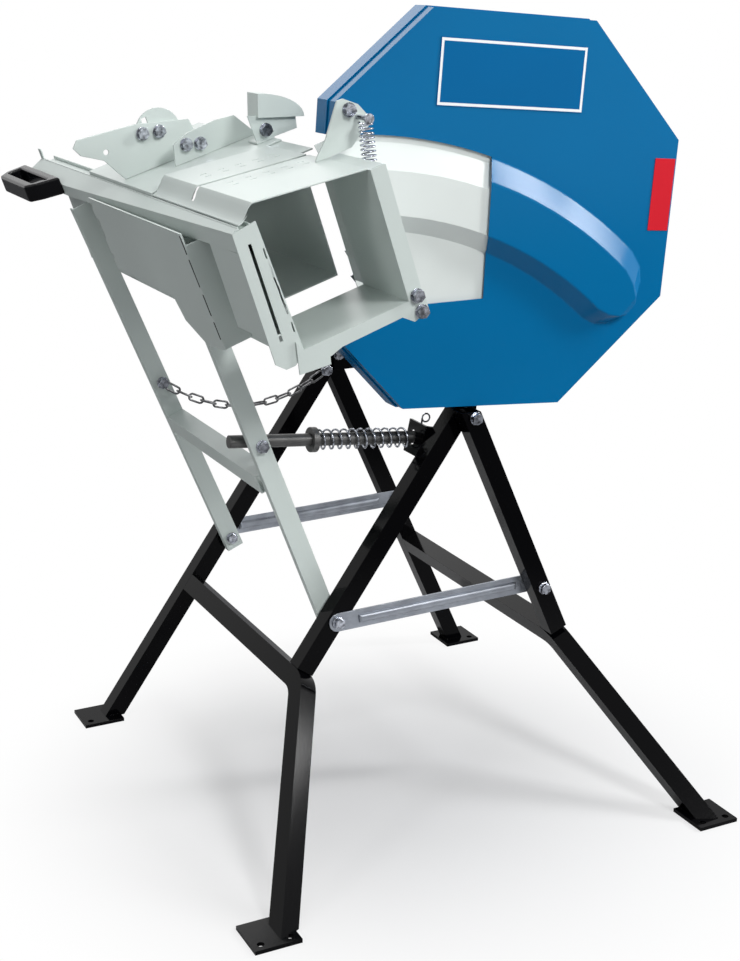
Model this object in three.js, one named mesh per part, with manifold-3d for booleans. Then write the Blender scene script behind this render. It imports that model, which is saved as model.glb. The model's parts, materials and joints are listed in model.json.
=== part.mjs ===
// Firewood circular saw with a rocking log trough on a four legged stand.
// Millimetres, +Z up, the log lies along Y and the blade turns about Y.
import * as THREE from "three";
import { mergeVertices } from "three/addons/utils/BufferGeometryUtils.js";
import Module from "manifold-3d";

const wasm = await Module();
wasm.setup();

// Clearances shared by all pieces
const seat = 0.3;
const holeClear = 0.5;
const overrun = 5;
const reach = 2000;
const mergeStep = 0.0001;

// Stand of square tube
const tube = 25;
const tubeWall = 2;
const legShift = 2.5;
const apexX = -8;
const apexHeight = 512;
const apexTop = 8;
const leftSpread = 366;
const rightSpread = 228;
const frameDepth = 380;
const crossHeight = 186.6;
const rightCrossHeight = 186.8;
const bendStart = 22;
const bendRadius = 42;
const frontFootY = -258;
const plateSide = 58;
const plateThick = 5;
const plateHole = 9;
const plateHoleInset = 11;
const leftPlateShift = -20;
const rightPlateShift = 2;

// Stamped braces between the legs
const braceThick = 2.5;
const braceHeight = 25;
const braceBead = 4;
const beadHeight = 11;
const beadLengthShare = 0.8;
const pivotRise = 71.4;
const braceRightRise = 77.2;

// Screws and washers
const screw = 8;
const headFlats = 13;
const headHeight = 5.5;
const nutHeight = 6.5;
const screwTail = 4;
const washerOuter = 17;
const washerThick = 1.6;

// Rocker legs and what joins them
const legLean = THREE.MathUtils.degToRad(22);
const frontLegLean = THREE.MathUtils.degToRad(20.5);
const legWidth = 25;
const legDepth = 12;
const sheet = 2;
const frontLegGap = 4.5;
const rearLegGap = 7;
const legFoot = 17;
const frontLegTop = 528;
const rearLegTop = 536;
const crossBarBottom = 190;
const crossBarHeight = 25;
const swingRange = THREE.MathUtils.degToRad(18);

// Trough that holds the log
const troughLean = THREE.MathUtils.degToRad(18);
const troughFront = -163;
const troughRear = 570;
const trayRear = 400;
const leftWallU = 3;
const rightWallU = 153;
const floorW = 413;
const wallHeight = 153;
const wallBelow = 5.5;
const wallFlange = 19;
const floorLip = 24;
const guardGapFront = -52;
const guardGapRear = 22;
const bladeSlot = 8;
const bladeSlotRise = 19;

// Rail along the top left edge and its handle
const railLeftU = -35;
const railRightU = -8.5;
const railTaper = 17;
const railTaperLength = 560;
const railTopFall = 4;
const railTopFallRear = 11;
const railDrop = 26;
const railFront = -163;
const railRear = 588;
const railTab = 12;
const railTabHeight = 14;
const handleWidth = 172;
const handleReach = 44;
const handleBar = 12;
const handleHeight = 24;
const handleCorner = 14;
const handleBevel = 30;

// Side covers on the outside of the trough
const sidePlateFront = -52;
const sidePlateLength = 340;
const sidePlateDrop = 11;
const sidePlateHeight = 153.4;
const sidePlateLengthShares = [1, 0.38, 0.344, 0.192, 0.037, 0];
const sidePlateDropShares = [0.665, 0.65, 0.854, 1, 0.963, 0.945];
const sideFold = 12;
const sideWallLip = 12;
const sideSlotWidth = 1.6;
const frontSlotShares = [[0.02, 0.18], [0.22, 0.46], [0.52, 0.71], [0.76, 0.92]];
const rearSlotShares = [[0.06, 0.14], [0.27, 0.56], [0.76, 0.84]];
const frontBoxU = -18.5;
const frontBoxDepth = 83;
const frontBoxHeight = 102;
const frontPlateFoot = 14;
const frontPlateFootU = 18;
const frontPlateFootWidth = 10;
const rodSlotInset = 15;
const rodSlotWidth = 4;
const rodSlotRise = 18;
const rodSlotLength = 114;
const edgeSlotWidth = 2;
const edgeSlotLength = 12;
const edgeSlotPitch = 22;
const edgeSlotCount = 5;
const edgeSlotInset = 1.5;
const edgeSlotRise = 22;
const frontPlateRightU = 11;
const lugLeftU = 3.6;
const lugWidth = 170.4;
const lugDrop = 29;
const lugHeight = 43;
const lugWidthShares = [0, 0.226, 0.237, 0.342, 0.8, 0.878, 1, 0.998, 0.938, 0.877, 0.877, 0.079, 0.044];
const lugHeightShares = [0.088, 0, 0.195, 0.307, 0.342, 0.09, 0.207, 0.807, 1, 1, 0.674, 0.674, 0.937];
const lugBoltInset = 9.5;
const lugBoltRise = 2.4;
const lugBoltPitch = 19.4;

// Hinged roof that clamps the log, and the fixed roof behind it
const roofThick = 2;
const roofRise = 17;
const roofFall = 15;
const roofShoulder = 22;
const roofShoulderShares = [[0, 0], [0.28, 0.1], [0.55, 0.38], [0.75, 0.75], [1, 1]];
const roofRightGap = 1;
const roofLength = 271;
const rearRoofGap = 4;
const rearRoofLength = 248;
const clawLength = 8;
const clawWidth = 3;
const clawAcrossShares = [0.28, 0.42, 0.56, 0.7, 0.83];
const clawAlongShares = [0.4, 0.46, 0.71, 0.77];
const roofRange = THREE.MathUtils.degToRad(8);

// Lever and tension spring on the roof's right edge
const leverY = -64;
const leverThick = 3;
const leverInset = 16;
const leverWidth = 80;
const leverHeight = 55.5;
const leverWidthShares = [0, 0.04, 0.24, 0.58, 0.68, 0.875, 1, 0.95, 0.82, 0.66, 0.6];
const leverHeightShares = [0, 0.08, 0.342, 1, 0.99, 0.777, 0.42, 0.28, 0.23, 0.06, 0];
const leverBoltWidthShare = 0.715;
const leverBoltHeightShare = 0.74;
const leverPinWidthShare = 0.81;
const leverPinHeightShare = 0.54;
const leverPin = 6;
const leverPinReach = 28;
const hookReach = 16;
const hookForward = 26;
const hookDrop = 11.4;
const hookPlate = 3;
const hookPin = 5;
const tensionRadius = 8;
const tensionWire = 2;
const tensionCurls = 9;
const tensionEnd = 5;

// Plates and hood on the fixed roof
const armPlace = 391;
const armThick = 3;
const armLeftU = -50;
const armLength = 162;
const armHeight = 67.4;
const armLengthShares = [0.309, 0.198, 0.037, 0, 0.049, 0.531, 0.951, 1];
const armHeightShares = [0, 0.466, 0.703, 0.881, 1, 0.881, 0.614, 0];
const armHoleLengthShare = 0.235;
const armHoleHeightShare = 0.599;
const armHole = 7;
const armBoltLengthShares = [0.556, 0.691];
const armBoltHeightShares = [0.674, 0.6];
const moonRise = 39.4;
const moonRadius = 30;
const moonSlotWidth = 7;
const moonSlotReach = 13;
const stopPlace = 353;
const stopLeftU = 56;
const stopLength = 116;
const stopHeight = 35.4;
const stopLengthShares = [0, 0.052, 0.241, 0.586, 0.81, 1];
const stopHeightShares = [0, 0.718, 0.944, 1, 0.915, 0];
const stopBoltLengthShares = [0.19, 0.345];
const stopBoltHeightShares = [0.576, 0.435];
const hoodPlace = 291;
const hoodDepth = 34;
const hoodLeftU = 157;
const hoodLift = 31;
const hoodWidth = 62;
const hoodRise = 29;
const hoodSteps = 10;
const hoodPlateSetback = 5;
const hoodPlateLeft = 11;
const hoodPlateWidth = 61;
const hoodPlateWidthShares = [0.02, 0.35, 0.95, 1, 0];
const hoodPlateHeightShares = [0.1, 0.04, 0.02, 0.5, 1.12];

// Blade guard of two pressed covers
const guardX = 26;
const guardLift = 251;
const guardTilt = THREE.MathUtils.degToRad(4.5);
const guardHalfHeight = 239.5;
const guardHalfLeft = 233;
const guardHalfRight = 258.5;
const guardFlat = 114;
const guardSideFlat = 101;
const guardLeftFlat = 127;
const guardLeftStub = 88;
const guardSkin = 1.5;
const guardFront = -30;
const guardSeam = -2;
const guardRear = 15;
const guardLap = 0.3;
const openTopRadius = 612;
const openRightX = 5.5;
const openLean = THREE.MathUtils.degToRad(2.7);
const openSlant = THREE.MathUtils.degToRad(26.5);
const openDrop = 101;
const humpInner = 500;
const humpWidth = 113;
const humpOuter = humpInner + humpWidth;
const humpSlopeInner = 20;
const humpSlopeOuter = 31;
const humpDepth = 18;
const humpNestInner = 1;
const humpNestOuter = 9;
const humpEndSpan = THREE.MathUtils.degToRad(5);
const flatShare = 0.55;
const risingShare = 0.5;
const humpEndShares = [[0, 1], [0.45, 0.9], [0.75, 0.68], [0.92, 0.4], [1, 0.12]];
const humpEndAngle = THREE.MathUtils.degToRad(48);
const arcSteps = 18;
const labelDrop = 24;
const labelWidth = 24;
const labelHeight = 92;
const labelThick = 0.6;
const panelWidth = 206;
const panelHeight = 79;
const panelLift = 168;
const panelShift = 2;

// Moving guard that rides with the trough
const shieldInner = 410;
const shieldOuter = 617;
const shieldY = -26.3;
const shieldEndAngle = THREE.MathUtils.degToRad(31);
const shieldEarly = THREE.MathUtils.degToRad(6);
const shieldLap = 9;
const shieldTabDepth = 70;
const shieldNotch = 32;
const shieldNotchRise = 16;

// Blade and what clamps it on the motor shaft
const bladeRadius = 202.5;
const bladeThick = 2.8;
const bladeY = -8.4;
const toothCount = 40;
const toothDepth = 7;
const boreRadius = 15;
const collarRadius = 36;
const collarThick = 5;
const arborNutFlats = 27;
const arborNutHeight = 14;
const noseShare = 0.8;

// Motor with its fan cover, stand, switch box and inlet
const motorRadius = 55;
const motorFront = 16;
const motorRear = 232;
const fanDepth = 42;
const headPlateRise = 54;
const headPlateLeft = -44;
const headPlateRight = 96;
const headPlateThick = 4;
const hangerDrop = 72;
const hangerLeft = 7;
const hangerRight = 34;
const pedestalLeft = -14;
const pedestalRight = 66;
const pedestalFront = 60;
const pedestalRear = 196;
const motorFootGap = 0.3;
const boxDepth = 54;
const boxFront = 70;
const boxRear = 160;
const boxBelow = 43;
const boxHeight = 102;
const boxWall = 3;
const buttonRadius = 11;
const buttonTravel = 3;
const buttonProud = 6;
const buttonSpace = 46;
const inletRadius = 17;
const inletDepth = 38;

// Return rod with its collar, clip and coil spring
const rodPivotZ = 252;
const rodPivotX = 2;
const rodY = 43;
const rodRadius = 8.2;
const rodStub = 34;
const rodTip = 14;
const guideShift = -16.4;
const guideDrop = 40;
const guideHoleClear = 2.2;
const guideWidth = 44;
const guideHeight = 43;
const guideThick = 4;
const guidePitch = THREE.MathUtils.degToRad(-12.5);
const collarPlace = 76;
const rodCollarRadius = 16;
const rodCollarWidth = 8;
const coilRadius = 12.2;
const coilWire = 2.6;
const coilCurls = 11;
const coilEndGap = 0.6;
const clipWire = 2.4;
const clipHeight = 34;
const clipWidth = 11;

// Limiting chain
const chainLegZ = 266;
const chainEndShift = -6.5;
const chainEndDrop = 21;
const chainSag = 43;
const chainWire = 3;
const chainLinkLength = 28;
const chainLinkWidth = 12.5;
const linkLapShare = 0.35;
const linkSteps = 4;
const linkSides = 5;

// Colours of the finishes
const black = new THREE.MeshStandardMaterial({ color: 0x0a0a0d, roughness: 0.25, metalness: 0.2 });
const zinc = new THREE.MeshStandardMaterial({ color: 0xa4a8b0, roughness: 0.4, metalness: 0.8 });
const grey = new THREE.MeshStandardMaterial({ color: 0xc6cfca, roughness: 0.5, metalness: 0.1 });
const blue = new THREE.MeshStandardMaterial({ color: 0x00639b, roughness: 0.35, metalness: 0.1 });
const darkBlue = new THREE.MeshStandardMaterial({ color: 0x0a3f6e, roughness: 0.4, metalness: 0.1 });
const red = new THREE.MeshStandardMaterial({ color: 0xc81e28, roughness: 0.4, metalness: 0 });
const green = new THREE.MeshStandardMaterial({ color: 0x1f8f3a, roughness: 0.4, metalness: 0 });
const steel = new THREE.MeshStandardMaterial({ color: 0xb9bcc0, roughness: 0.3, metalness: 1 });
const plastic = new THREE.MeshStandardMaterial({ color: 0x101012, roughness: 0.35, metalness: 0 });

// Closed solids and their joins
function solid(geometry) {
  const bare = geometry.index ? geometry.toNonIndexed() : geometry.clone();
  bare.deleteAttribute("normal");
  bare.deleteAttribute("uv");
  const merged = mergeVertices(bare, mergeStep);
  const vertProperties = merged.attributes.position.array;
  const triVerts = new Uint32Array(merged.index.array);
  return new wasm.Manifold(new wasm.Mesh({ numProp: 3, vertProperties, triVerts }));
}

function cut(body, ...tools) {
  return tools.reduce((left, tool) => left.subtract(tool), body);
}

function join(body, ...others) {
  return others.reduce((whole, other) => whole.add(other), body);
}

function piece(parent, name, body, material) {
  const mesh = body.getMesh();
  const geometry = new THREE.BufferGeometry();
  geometry.setAttribute("position", new THREE.BufferAttribute(mesh.vertProperties, 3));
  geometry.setIndex(new THREE.BufferAttribute(mesh.triVerts, 1));
  const faceted = geometry.toNonIndexed();
  faceted.computeVertexNormals();
  const node = new THREE.Mesh(faceted, material);
  node.name = name;
  parent.add(node);
  return node;
}

// A box between two corners
function block(x0, x1, y0, y1, z0, z1) {
  const box = new THREE.BoxGeometry(x1 - x0, y1 - y0, z1 - z0);
  box.translate((x0 + x1) / 2, (y0 + y1) / 2, (z0 + z1) / 2);
  return solid(box);
}

function outline(points) {
  return new THREE.Shape(points.map(([a, b]) => new THREE.Vector2(a, b)));
}

// A plate whose outline lies in X and Z, from y0 to y1
function plateXZ(points, y0, y1) {
  const plate = new THREE.ExtrudeGeometry(outline(points), { depth: y1 - y0, bevelEnabled: false });
  plate.rotateX(Math.PI / 2);
  plate.translate(0, y1, 0);
  return solid(plate);
}

// A plate whose outline lies in X and Y, from z0 to z1
function plateXY(points, z0, z1) {
  const plate = new THREE.ExtrudeGeometry(outline(points), { depth: z1 - z0, bevelEnabled: false });
  plate.translate(0, 0, z0);
  return solid(plate);
}

// A plate whose outline lies in Y and Z, from x0 to x1
function plateYZ(points, x0, x1) {
  const plate = new THREE.ExtrudeGeometry(outline(points), { depth: x1 - x0, bevelEnabled: false });
  plate.rotateX(Math.PI / 2);
  plate.rotateZ(Math.PI / 2);
  plate.translate(x0, 0, 0);
  return solid(plate);
}

// Round bars along Y and along X
function barY(x, z, radius, y0, y1, sides = 16) {
  const bar = new THREE.CylinderGeometry(radius, radius, y1 - y0, sides);
  bar.translate(x, (y0 + y1) / 2, z);
  return solid(bar);
}

function barX(y, z, radius, x0, x1, sides = 16) {
  const bar = new THREE.CylinderGeometry(radius, radius, x1 - x0, sides);
  bar.rotateZ(Math.PI / 2);
  bar.translate((x0 + x1) / 2, y, z);
  return solid(bar);
}

// A screw along Y with a head in front, a nut behind and collars where pieces stand apart
function screwY(x, z, y0, y1, collars = []) {
  const headRadius = headFlats / Math.sqrt(3);
  const headBack = y0 - washerThick;
  let body = barY(x, z, screw / 2, headBack - headHeight / 2, y1 + nutHeight + screwTail, 12);
  body = join(body, barY(x, z, headRadius, headBack - headHeight, headBack + washerThick / 2, 6));
  body = join(body, barY(x, z, washerOuter / 2, headBack, y0, 16));
  body = join(body, barY(x, z, headRadius, y1, y1 + nutHeight, 6));
  for (const [a, b] of collars) {
    body = join(body, barY(x, z, washerOuter / 2, a, b, 12));
  }
  return body;
}

function screwHole(x, z, y0, y1) {
  return barY(x, z, screw / 2 + holeClear, y0, y1, 12);
}

// A body swept through rings of points, closed at both ends
function sweep(rings, place) {
  const count = rings[0].length;
  const positions = rings.flat().flatMap((p) => [p.x, p.y, p.z]);
  const faces = [];
  for (let i = 0; i + 1 < rings.length; i += 1) {
    for (let k = 0; k < count; k += 1) {
      const a = i * count + k;
      const b = i * count + ((k + 1) % count);
      faces.push(a, b, b + count, a, b + count, a + count);
    }
  }
  const flat = flattened(rings[0]);
  for (const [a, b, c] of THREE.ShapeUtils.triangulateShape(flat, [])) {
    faces.push(a, c, b);
    const last = (rings.length - 1) * count;
    faces.push(last + a, last + b, last + c);
  }
  const geometry = new THREE.BufferGeometry();
  geometry.setAttribute("position", new THREE.Float32BufferAttribute(positions, 3));
  geometry.setIndex(faces);
  if (place) {
    geometry.translate(place.x, place.y, place.z);
  }
  return solid(signedVolume(geometry) < 0 ? turned(geometry) : geometry);
}

function signedVolume(geometry) {
  const place = geometry.attributes.position;
  const index = geometry.index.array;
  const corner = [0, 1, 2].map(() => new THREE.Vector3());
  let total = 0;
  for (let i = 0; i < index.length; i += 3) {
    corner.forEach((v, k) => v.fromBufferAttribute(place, index[i + k]));
    total += corner[0].dot(corner[1].clone().cross(corner[2]));
  }
  return total;
}

function turned(geometry) {
  const index = geometry.index.array;
  const faces = [];
  for (let i = 0; i < index.length; i += 3) {
    faces.push(index[i], index[i + 2], index[i + 1]);
  }
  const inverse = geometry.clone();
  inverse.setIndex(faces);
  return inverse;
}

// The ring's own plane, for closing the ends of a sweep
function flattened(ring) {
  const centre = ring.reduce((sum, p) => sum.add(p), new THREE.Vector3()).divideScalar(ring.length);
  const across = ring[0].clone().sub(centre).normalize();
  let normal = new THREE.Vector3();
  for (let k = 0; k < ring.length; k += 1) {
    const a = ring[k].clone().sub(centre);
    const b = ring[(k + 1) % ring.length].clone().sub(centre);
    normal.add(a.cross(b));
  }
  normal.normalize();
  const up = normal.clone().cross(across);
  return ring.map((p) => {
    const q = p.clone().sub(centre);
    return new THREE.Vector2(q.dot(across), q.dot(up));
  });
}

// A profile of radius and Y turned about the Y axis from one angle to another
function sector(profile, angle0, angle1, steps, place) {
  const rings = [];
  for (let i = 0; i <= steps; i += 1) {
    const angle = angle0 + ((angle1 - angle0) * i) / steps;
    const ring = profile.map(([r, y]) => new THREE.Vector3(r * Math.sin(angle), y, r * Math.cos(angle)));
    rings.push(ring);
  }
  return sweep(rings, place);
}

function arcPoints(radius, angle0, angle1, steps) {
  const points = [];
  for (let i = 0; i <= steps; i += 1) {
    const angle = angle0 + ((angle1 - angle0) * i) / steps;
    points.push([radius * Math.sin(angle), radius * Math.cos(angle)]);
  }
  return points;
}

// A square bar along points in the Y and Z plane, which bends about X
function squareBar(path, half) {
  const rings = path.map(([y, z], i) => {
    const before = path[Math.max(i - 1, 0)];
    const after = path[Math.min(i + 1, path.length - 1)];
    const along = new THREE.Vector3(0, after[0] - before[0], after[1] - before[1]).normalize();
    const side = new THREE.Vector3(0, -along.z, along.y).multiplyScalar(half);
    const centre = new THREE.Vector3(0, y, z);
    const corners = [[-half, 1], [half, 1], [half, -1], [-half, -1]];
    return corners.map(([x, k]) => centre.clone().addScaledVector(side, k).setX(x));
  });
  return sweep(rings);
}

// One wire wound about X from 0 to length, each end straight along X
function coil(length, radius, wire, curls, stepsPerCurl = 8, sides = 5) {
  const wound = length - 2 * wire;
  const count = curls * stepsPerCurl;
  const centres = [new THREE.Vector3(0, radius, 0)];
  for (let i = 0; i <= count; i += 1) {
    const angle = (2 * Math.PI * i) / stepsPerCurl;
    const x = wire + (wound * i) / count;
    centres.push(new THREE.Vector3(x, radius * Math.cos(angle), radius * Math.sin(angle)));
  }
  const last = centres[centres.length - 1];
  centres.push(new THREE.Vector3(length, last.y, last.z));
  const rings = centres.map((centre, i) => {
    const straight = i === 0 || i === centres.length - 1;
    const before = centres[Math.max(i - 1, 0)];
    const after = centres[Math.min(i + 1, centres.length - 1)];
    const along = straight ? new THREE.Vector3(1, 0, 0) : after.clone().sub(before).normalize();
    const outward = new THREE.Vector3(0, centre.y, centre.z).normalize();
    const side = along.clone().cross(outward).normalize();
    const up = side.clone().cross(along).normalize();
    const ring = [];
    for (let k = 0; k < sides; k += 1) {
      const turn = (2 * Math.PI * k) / sides;
      const point = centre.clone().addScaledVector(up, (wire / 2) * Math.cos(turn));
      ring.push(point.addScaledVector(side, (wire / 2) * Math.sin(turn)));
    }
    return ring;
  });
  const gap = leastGap(centres, stepsPerCurl, wire);
  console.log("coil of", curls, "curls: least gap to itself", gap.toFixed(2), "mm");
  return sweep(rings);
}

function leastGap(centres, stepsPerCurl, wire) {
  let least = Infinity;
  for (let i = 0; i < centres.length; i += 1) {
    for (let j = i + stepsPerCurl / 2; j < centres.length; j += 1) {
      least = Math.min(least, centres[i].distanceTo(centres[j]) - wire);
    }
  }
  return least;
}

const saw = new THREE.Group();

// Leaning frames of the stand, each with its own group that has Z along the leg
const pivotHeight = crossHeight + pivotRise;
const braceRightHeight = rightCrossHeight + braceRightRise;
const leftLean = Math.atan2(leftSpread, apexHeight);
const rightLean = -Math.atan2(rightSpread, apexHeight);
const crossDrop = (apexHeight - crossHeight) / Math.cos(leftLean);
const rightCrossDrop = (apexHeight - rightCrossHeight) / Math.cos(rightLean);
const half = tube / 2;
const legOffset = tube + braceThick + 2 * seat;
const rearLeftY = frameDepth;
const rearRightY = frameDepth + legOffset;
const legTop = apexHeight + apexTop;

function leaning(lean) {
  const group = new THREE.Group();
  group.position.set(apexX - legShift, 0, apexHeight);
  group.rotation.y = lean;
  saw.add(group);
  return group;
}

// Half space above or below a level height, seen from a leaning frame
function levelCut(lean, height, above) {
  const slab = new THREE.BoxGeometry(reach, reach, reach);
  slab.translate(0, 0, height - apexHeight + (above ? reach / 2 : -reach / 2));
  slab.rotateY(-lean);
  return solid(slab);
}

// Place in a leaning frame of a point of the stand
function inLeg(lean, x, z) {
  const dx = x - apexX + legShift;
  const dz = z - apexHeight;
  return [dx * Math.cos(lean) - dz * Math.sin(lean), dx * Math.sin(lean) + dz * Math.cos(lean)];
}

// Straight leg of hollow square tube with its bolt holes
function legTube(lean, y, bottom, holes, floor = 0) {
  const outer = block(-half, half, y - half, y + half, bottom, tube);
  const inner = half - tubeWall;
  let body = cut(outer, block(-inner, inner, y - inner, y + inner, bottom - overrun, tube + overrun));
  for (const [x, z] of holes) {
    body = cut(body, screwHole(x, z, y - tube, y + tube));
  }
  return cut(body, levelCut(lean, floor, false), levelCut(lean, legTop, true));
}

function alongLeg(lean, height) {
  return (height - apexHeight) / Math.cos(lean);
}

// Cross tube that bends down to the front foot, in one piece
function bentTube(lean, rearY, drop) {
  const floorZ = alongLeg(lean, 0);
  const bendY = -bendStart;
  const slope = Math.atan2(-drop - floorZ, bendY - frontFootY);
  const tangent = bendRadius * Math.tan(slope / 2);
  const path = [[rearY, -drop], [bendY + tangent, -drop]];
  for (let i = 1; i < arcSteps / 3; i += 1) {
    const turn = (slope * i) / (arcSteps / 3);
    const y = bendY + tangent - bendRadius * Math.sin(turn);
    path.push([y, -drop - bendRadius * (1 - Math.cos(turn))]);
  }
  const along = [-Math.cos(slope), -Math.sin(slope)];
  path.push([bendY + along[0] * tangent, -drop + along[1] * tangent]);
  const beyond = Math.hypot(bendY - frontFootY, drop + floorZ) + tube;
  path.push([bendY + along[0] * beyond, -drop + along[1] * beyond]);
  const bore = path.map(([y, z], i) => (i === 0 ? [y + overrun, z] : [y, z]));
  const end = bore[bore.length - 1];
  bore[bore.length - 1] = [end[0] + along[0] * overrun, end[1] + along[1] * overrun];
  const body = cut(squareBar(path, half), squareBar(bore, half - tubeWall));
  return cut(body, levelCut(lean, plateThick / 2, false));
}

// Foot plate with two holes, level on the floor, welded under a leaning tube
function footPlate(lean, x, y) {
  const intoFrame = (geometry, dx, dy) => {
    geometry.translate(x + dx - apexX + legShift, y + dy, plateThick / 2 - apexHeight);
    geometry.rotateY(-lean);
    return solid(geometry);
  };
  let plate = intoFrame(new THREE.BoxGeometry(plateSide, plateSide, plateThick), 0, 0);
  const hole = plateSide / 2 - plateHoleInset;
  for (const k of [-1, 1]) {
    const drill = new THREE.CylinderGeometry(plateHole / 2, plateHole / 2, 2 * plateThick, 12);
    drill.rotateX(Math.PI / 2);
    plate = cut(plate, intoFrame(drill, k * hole, -hole));
  }
  return plate;
}

const leftFrame = leaning(leftLean);
const rightFrame = leaning(rightLean);
const pivotX = apexX - (apexHeight - pivotHeight) * Math.tan(leftLean);
const braceRightX = apexX - (apexHeight - braceRightHeight) * Math.tan(rightLean);
const leftHoles = [inLeg(leftLean, apexX, apexHeight), inLeg(leftLean, pivotX, pivotHeight)];
const rightHoles = [inLeg(rightLean, apexX, apexHeight), inLeg(rightLean, braceRightX, braceRightHeight)];
const guardZ = apexHeight + guardLift;
const guideZ = apexHeight - guideDrop;
const guideX = apexX - guideDrop * Math.tan(leftLean) + guideShift;
const chainEndZ = apexHeight - chainEndDrop;
const chainEndX = apexX - chainEndDrop * Math.tan(leftLean) + chainEndShift;
const chainHook = [chainEndX, chainEndZ];
const leftJoint = -crossDrop + half + seat;
const rightJoint = -rightCrossDrop + half + seat;
const leftFloor = alongLeg(leftLean, 0) - tube;
const rightFloor = alongLeg(rightLean, 0) - tube;
const frontRightY = -legOffset;

const leftFootX = apexX - apexHeight * Math.tan(leftLean) + leftPlateShift;
const rightFootX = apexX - apexHeight * Math.tan(rightLean) + rightPlateShift;
const inPlate = plateThick / 2;

const leftRearLeg = legTube(leftLean, rearLeftY, leftFloor, [...leftHoles, inLeg(leftLean, ...chainHook)], inPlate);
const rightRearLeg = legTube(rightLean, rearRightY, rightFloor, rightHoles, inPlate);
const leftBent = bentTube(leftLean, rearLeftY - half - seat, crossDrop);
const rightBent = bentTube(rightLean, rearRightY - half - seat, rightCrossDrop);
piece(leftFrame, "left_front_leg", legTube(leftLean, 0, leftJoint, leftHoles), black);
piece(rightFrame, "right_front_leg", legTube(rightLean, frontRightY, rightJoint, rightHoles), black);
piece(leftFrame, "left_rear_leg", join(leftRearLeg, footPlate(leftLean, leftFootX, rearLeftY)), black);
piece(rightFrame, "right_rear_leg", join(rightRearLeg, footPlate(rightLean, rightFootX, rearRightY)), black);
piece(leftFrame, "left_bent_tube", join(leftBent, footPlate(leftLean, leftFootX, frontFootY)), black);
piece(rightFrame, "right_bent_tube", join(rightBent, footPlate(rightLean, rightFootX, frontFootY)), black);

// Flat brace with rounded ends and a pressed bead, from the pivot bolt to the right leg
function brace(y) {
  const length = Math.hypot(braceRightX - pivotX, braceRightHeight - pivotHeight);
  const middleX = (pivotX + braceRightX) / 2;
  const middleZ = (pivotHeight + braceRightHeight) / 2;
  const tilt = Math.atan2(braceRightHeight - pivotHeight, braceRightX - pivotX);
  const high = braceHeight / 2;
  const points = [];
  for (const side of [1, -1]) {
    for (let i = 0; i <= arcSteps / 3; i += 1) {
      const angle = (side > 0 ? 0 : Math.PI) + (Math.PI * i) / (arcSteps / 3);
      points.push([side * (length / 2) + high * Math.sin(angle), high * Math.cos(angle)]);
    }
  }
  const turn = ([a, b]) => [
    middleX + a * Math.cos(tilt) - b * Math.sin(tilt),
    middleZ + a * Math.sin(tilt) + b * Math.cos(tilt),
  ];
  const bead = (length * beadLengthShare) / 2;
  const rise = beadHeight / 2;
  const corners = [[-bead, -rise], [bead, -rise], [bead, rise], [-bead, rise]];
  let strip = plateXZ(points.map(turn), y, y + braceThick);
  strip = join(strip, plateXZ(corners.map(turn), y - braceBead, y + braceThick / 2));
  const trough = [[-bead, -rise / 2], [bead, -rise / 2], [bead, rise / 2], [-bead, rise / 2]];
  strip = cut(strip, plateXZ(trough.map(turn), y - braceBead + braceThick / 2, y + overrun));
  strip = cut(strip, screwHole(pivotX, pivotHeight, y - overrun, y + overrun));
  return cut(strip, screwHole(braceRightX, braceRightHeight, y - overrun, y + overrun));
}

const frontBraceY = -half - seat - braceThick;
const rearBraceY = rearLeftY + half + seat;
piece(saw, "front_brace", brace(frontBraceY), zinc);
piece(saw, "rear_brace", brace(rearBraceY), zinc);

// Rocker leg positions follow the stand's two frames
const frontLegY = half + frontLegGap;
const rearLegY = rearLeftY - half - rearLegGap - legDepth;

// Screws of the stand, front and rear
const rightFrontFace = frontRightY - half;
const rightRearFace = rearRightY + half;
const hangerY = Math.max(half, guardRear) + 2 * seat;
const rearHangerY = rearLeftY - half - seat - headPlateThick;
const frontPivot = screwY(pivotX, pivotHeight, frontBraceY - seat, frontLegY + sheet + seat, [
  [half + seat, frontLegY - seat],
]);
const rearPivot = screwY(pivotX, pivotHeight, rearLegY - seat, rearBraceY + braceThick + seat, [
  [rearLegY + sheet + seat, rearLeftY - half - seat],
]);
piece(saw, "front_pivot_bolt", frontPivot, zinc);
piece(saw, "rear_pivot_bolt", rearPivot, zinc);
const frontBraceBolt = screwY(braceRightX, braceRightHeight, rightFrontFace - seat, frontBraceY + braceThick + seat);
const rearBraceBolt = screwY(braceRightX, braceRightHeight, rearBraceY - seat, rightRearFace + seat);
piece(saw, "front_brace_bolt", frontBraceBolt, zinc);
piece(saw, "rear_brace_bolt", rearBraceBolt, zinc);
const frontApexBolt = screwY(apexX, apexHeight, rightFrontFace - seat, hangerY + headPlateThick + seat, [
  [frontRightY + half + seat, -half - seat],
  [half + seat, hangerY - seat],
]);
const rearApexBolt = screwY(apexX, apexHeight, rearHangerY - seat, rightRearFace + seat, [
  [rearLeftY + half + seat, rearRightY - half - seat],
]);
piece(saw, "front_apex_bolt", frontApexBolt, zinc);
piece(saw, "rear_apex_bolt", rearApexBolt, zinc);
const chainStandoff = chainLinkWidth / 2 + 2 * seat;
const chainFrontY = rearLeftY - half - chainStandoff - chainWire / 2 - 2 * seat;
const chainEndBolt = screwY(chainEndX, chainEndZ, chainFrontY, rearLeftY + half + seat);
piece(saw, "chain_end_bolt", chainEndBolt, zinc);

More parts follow.
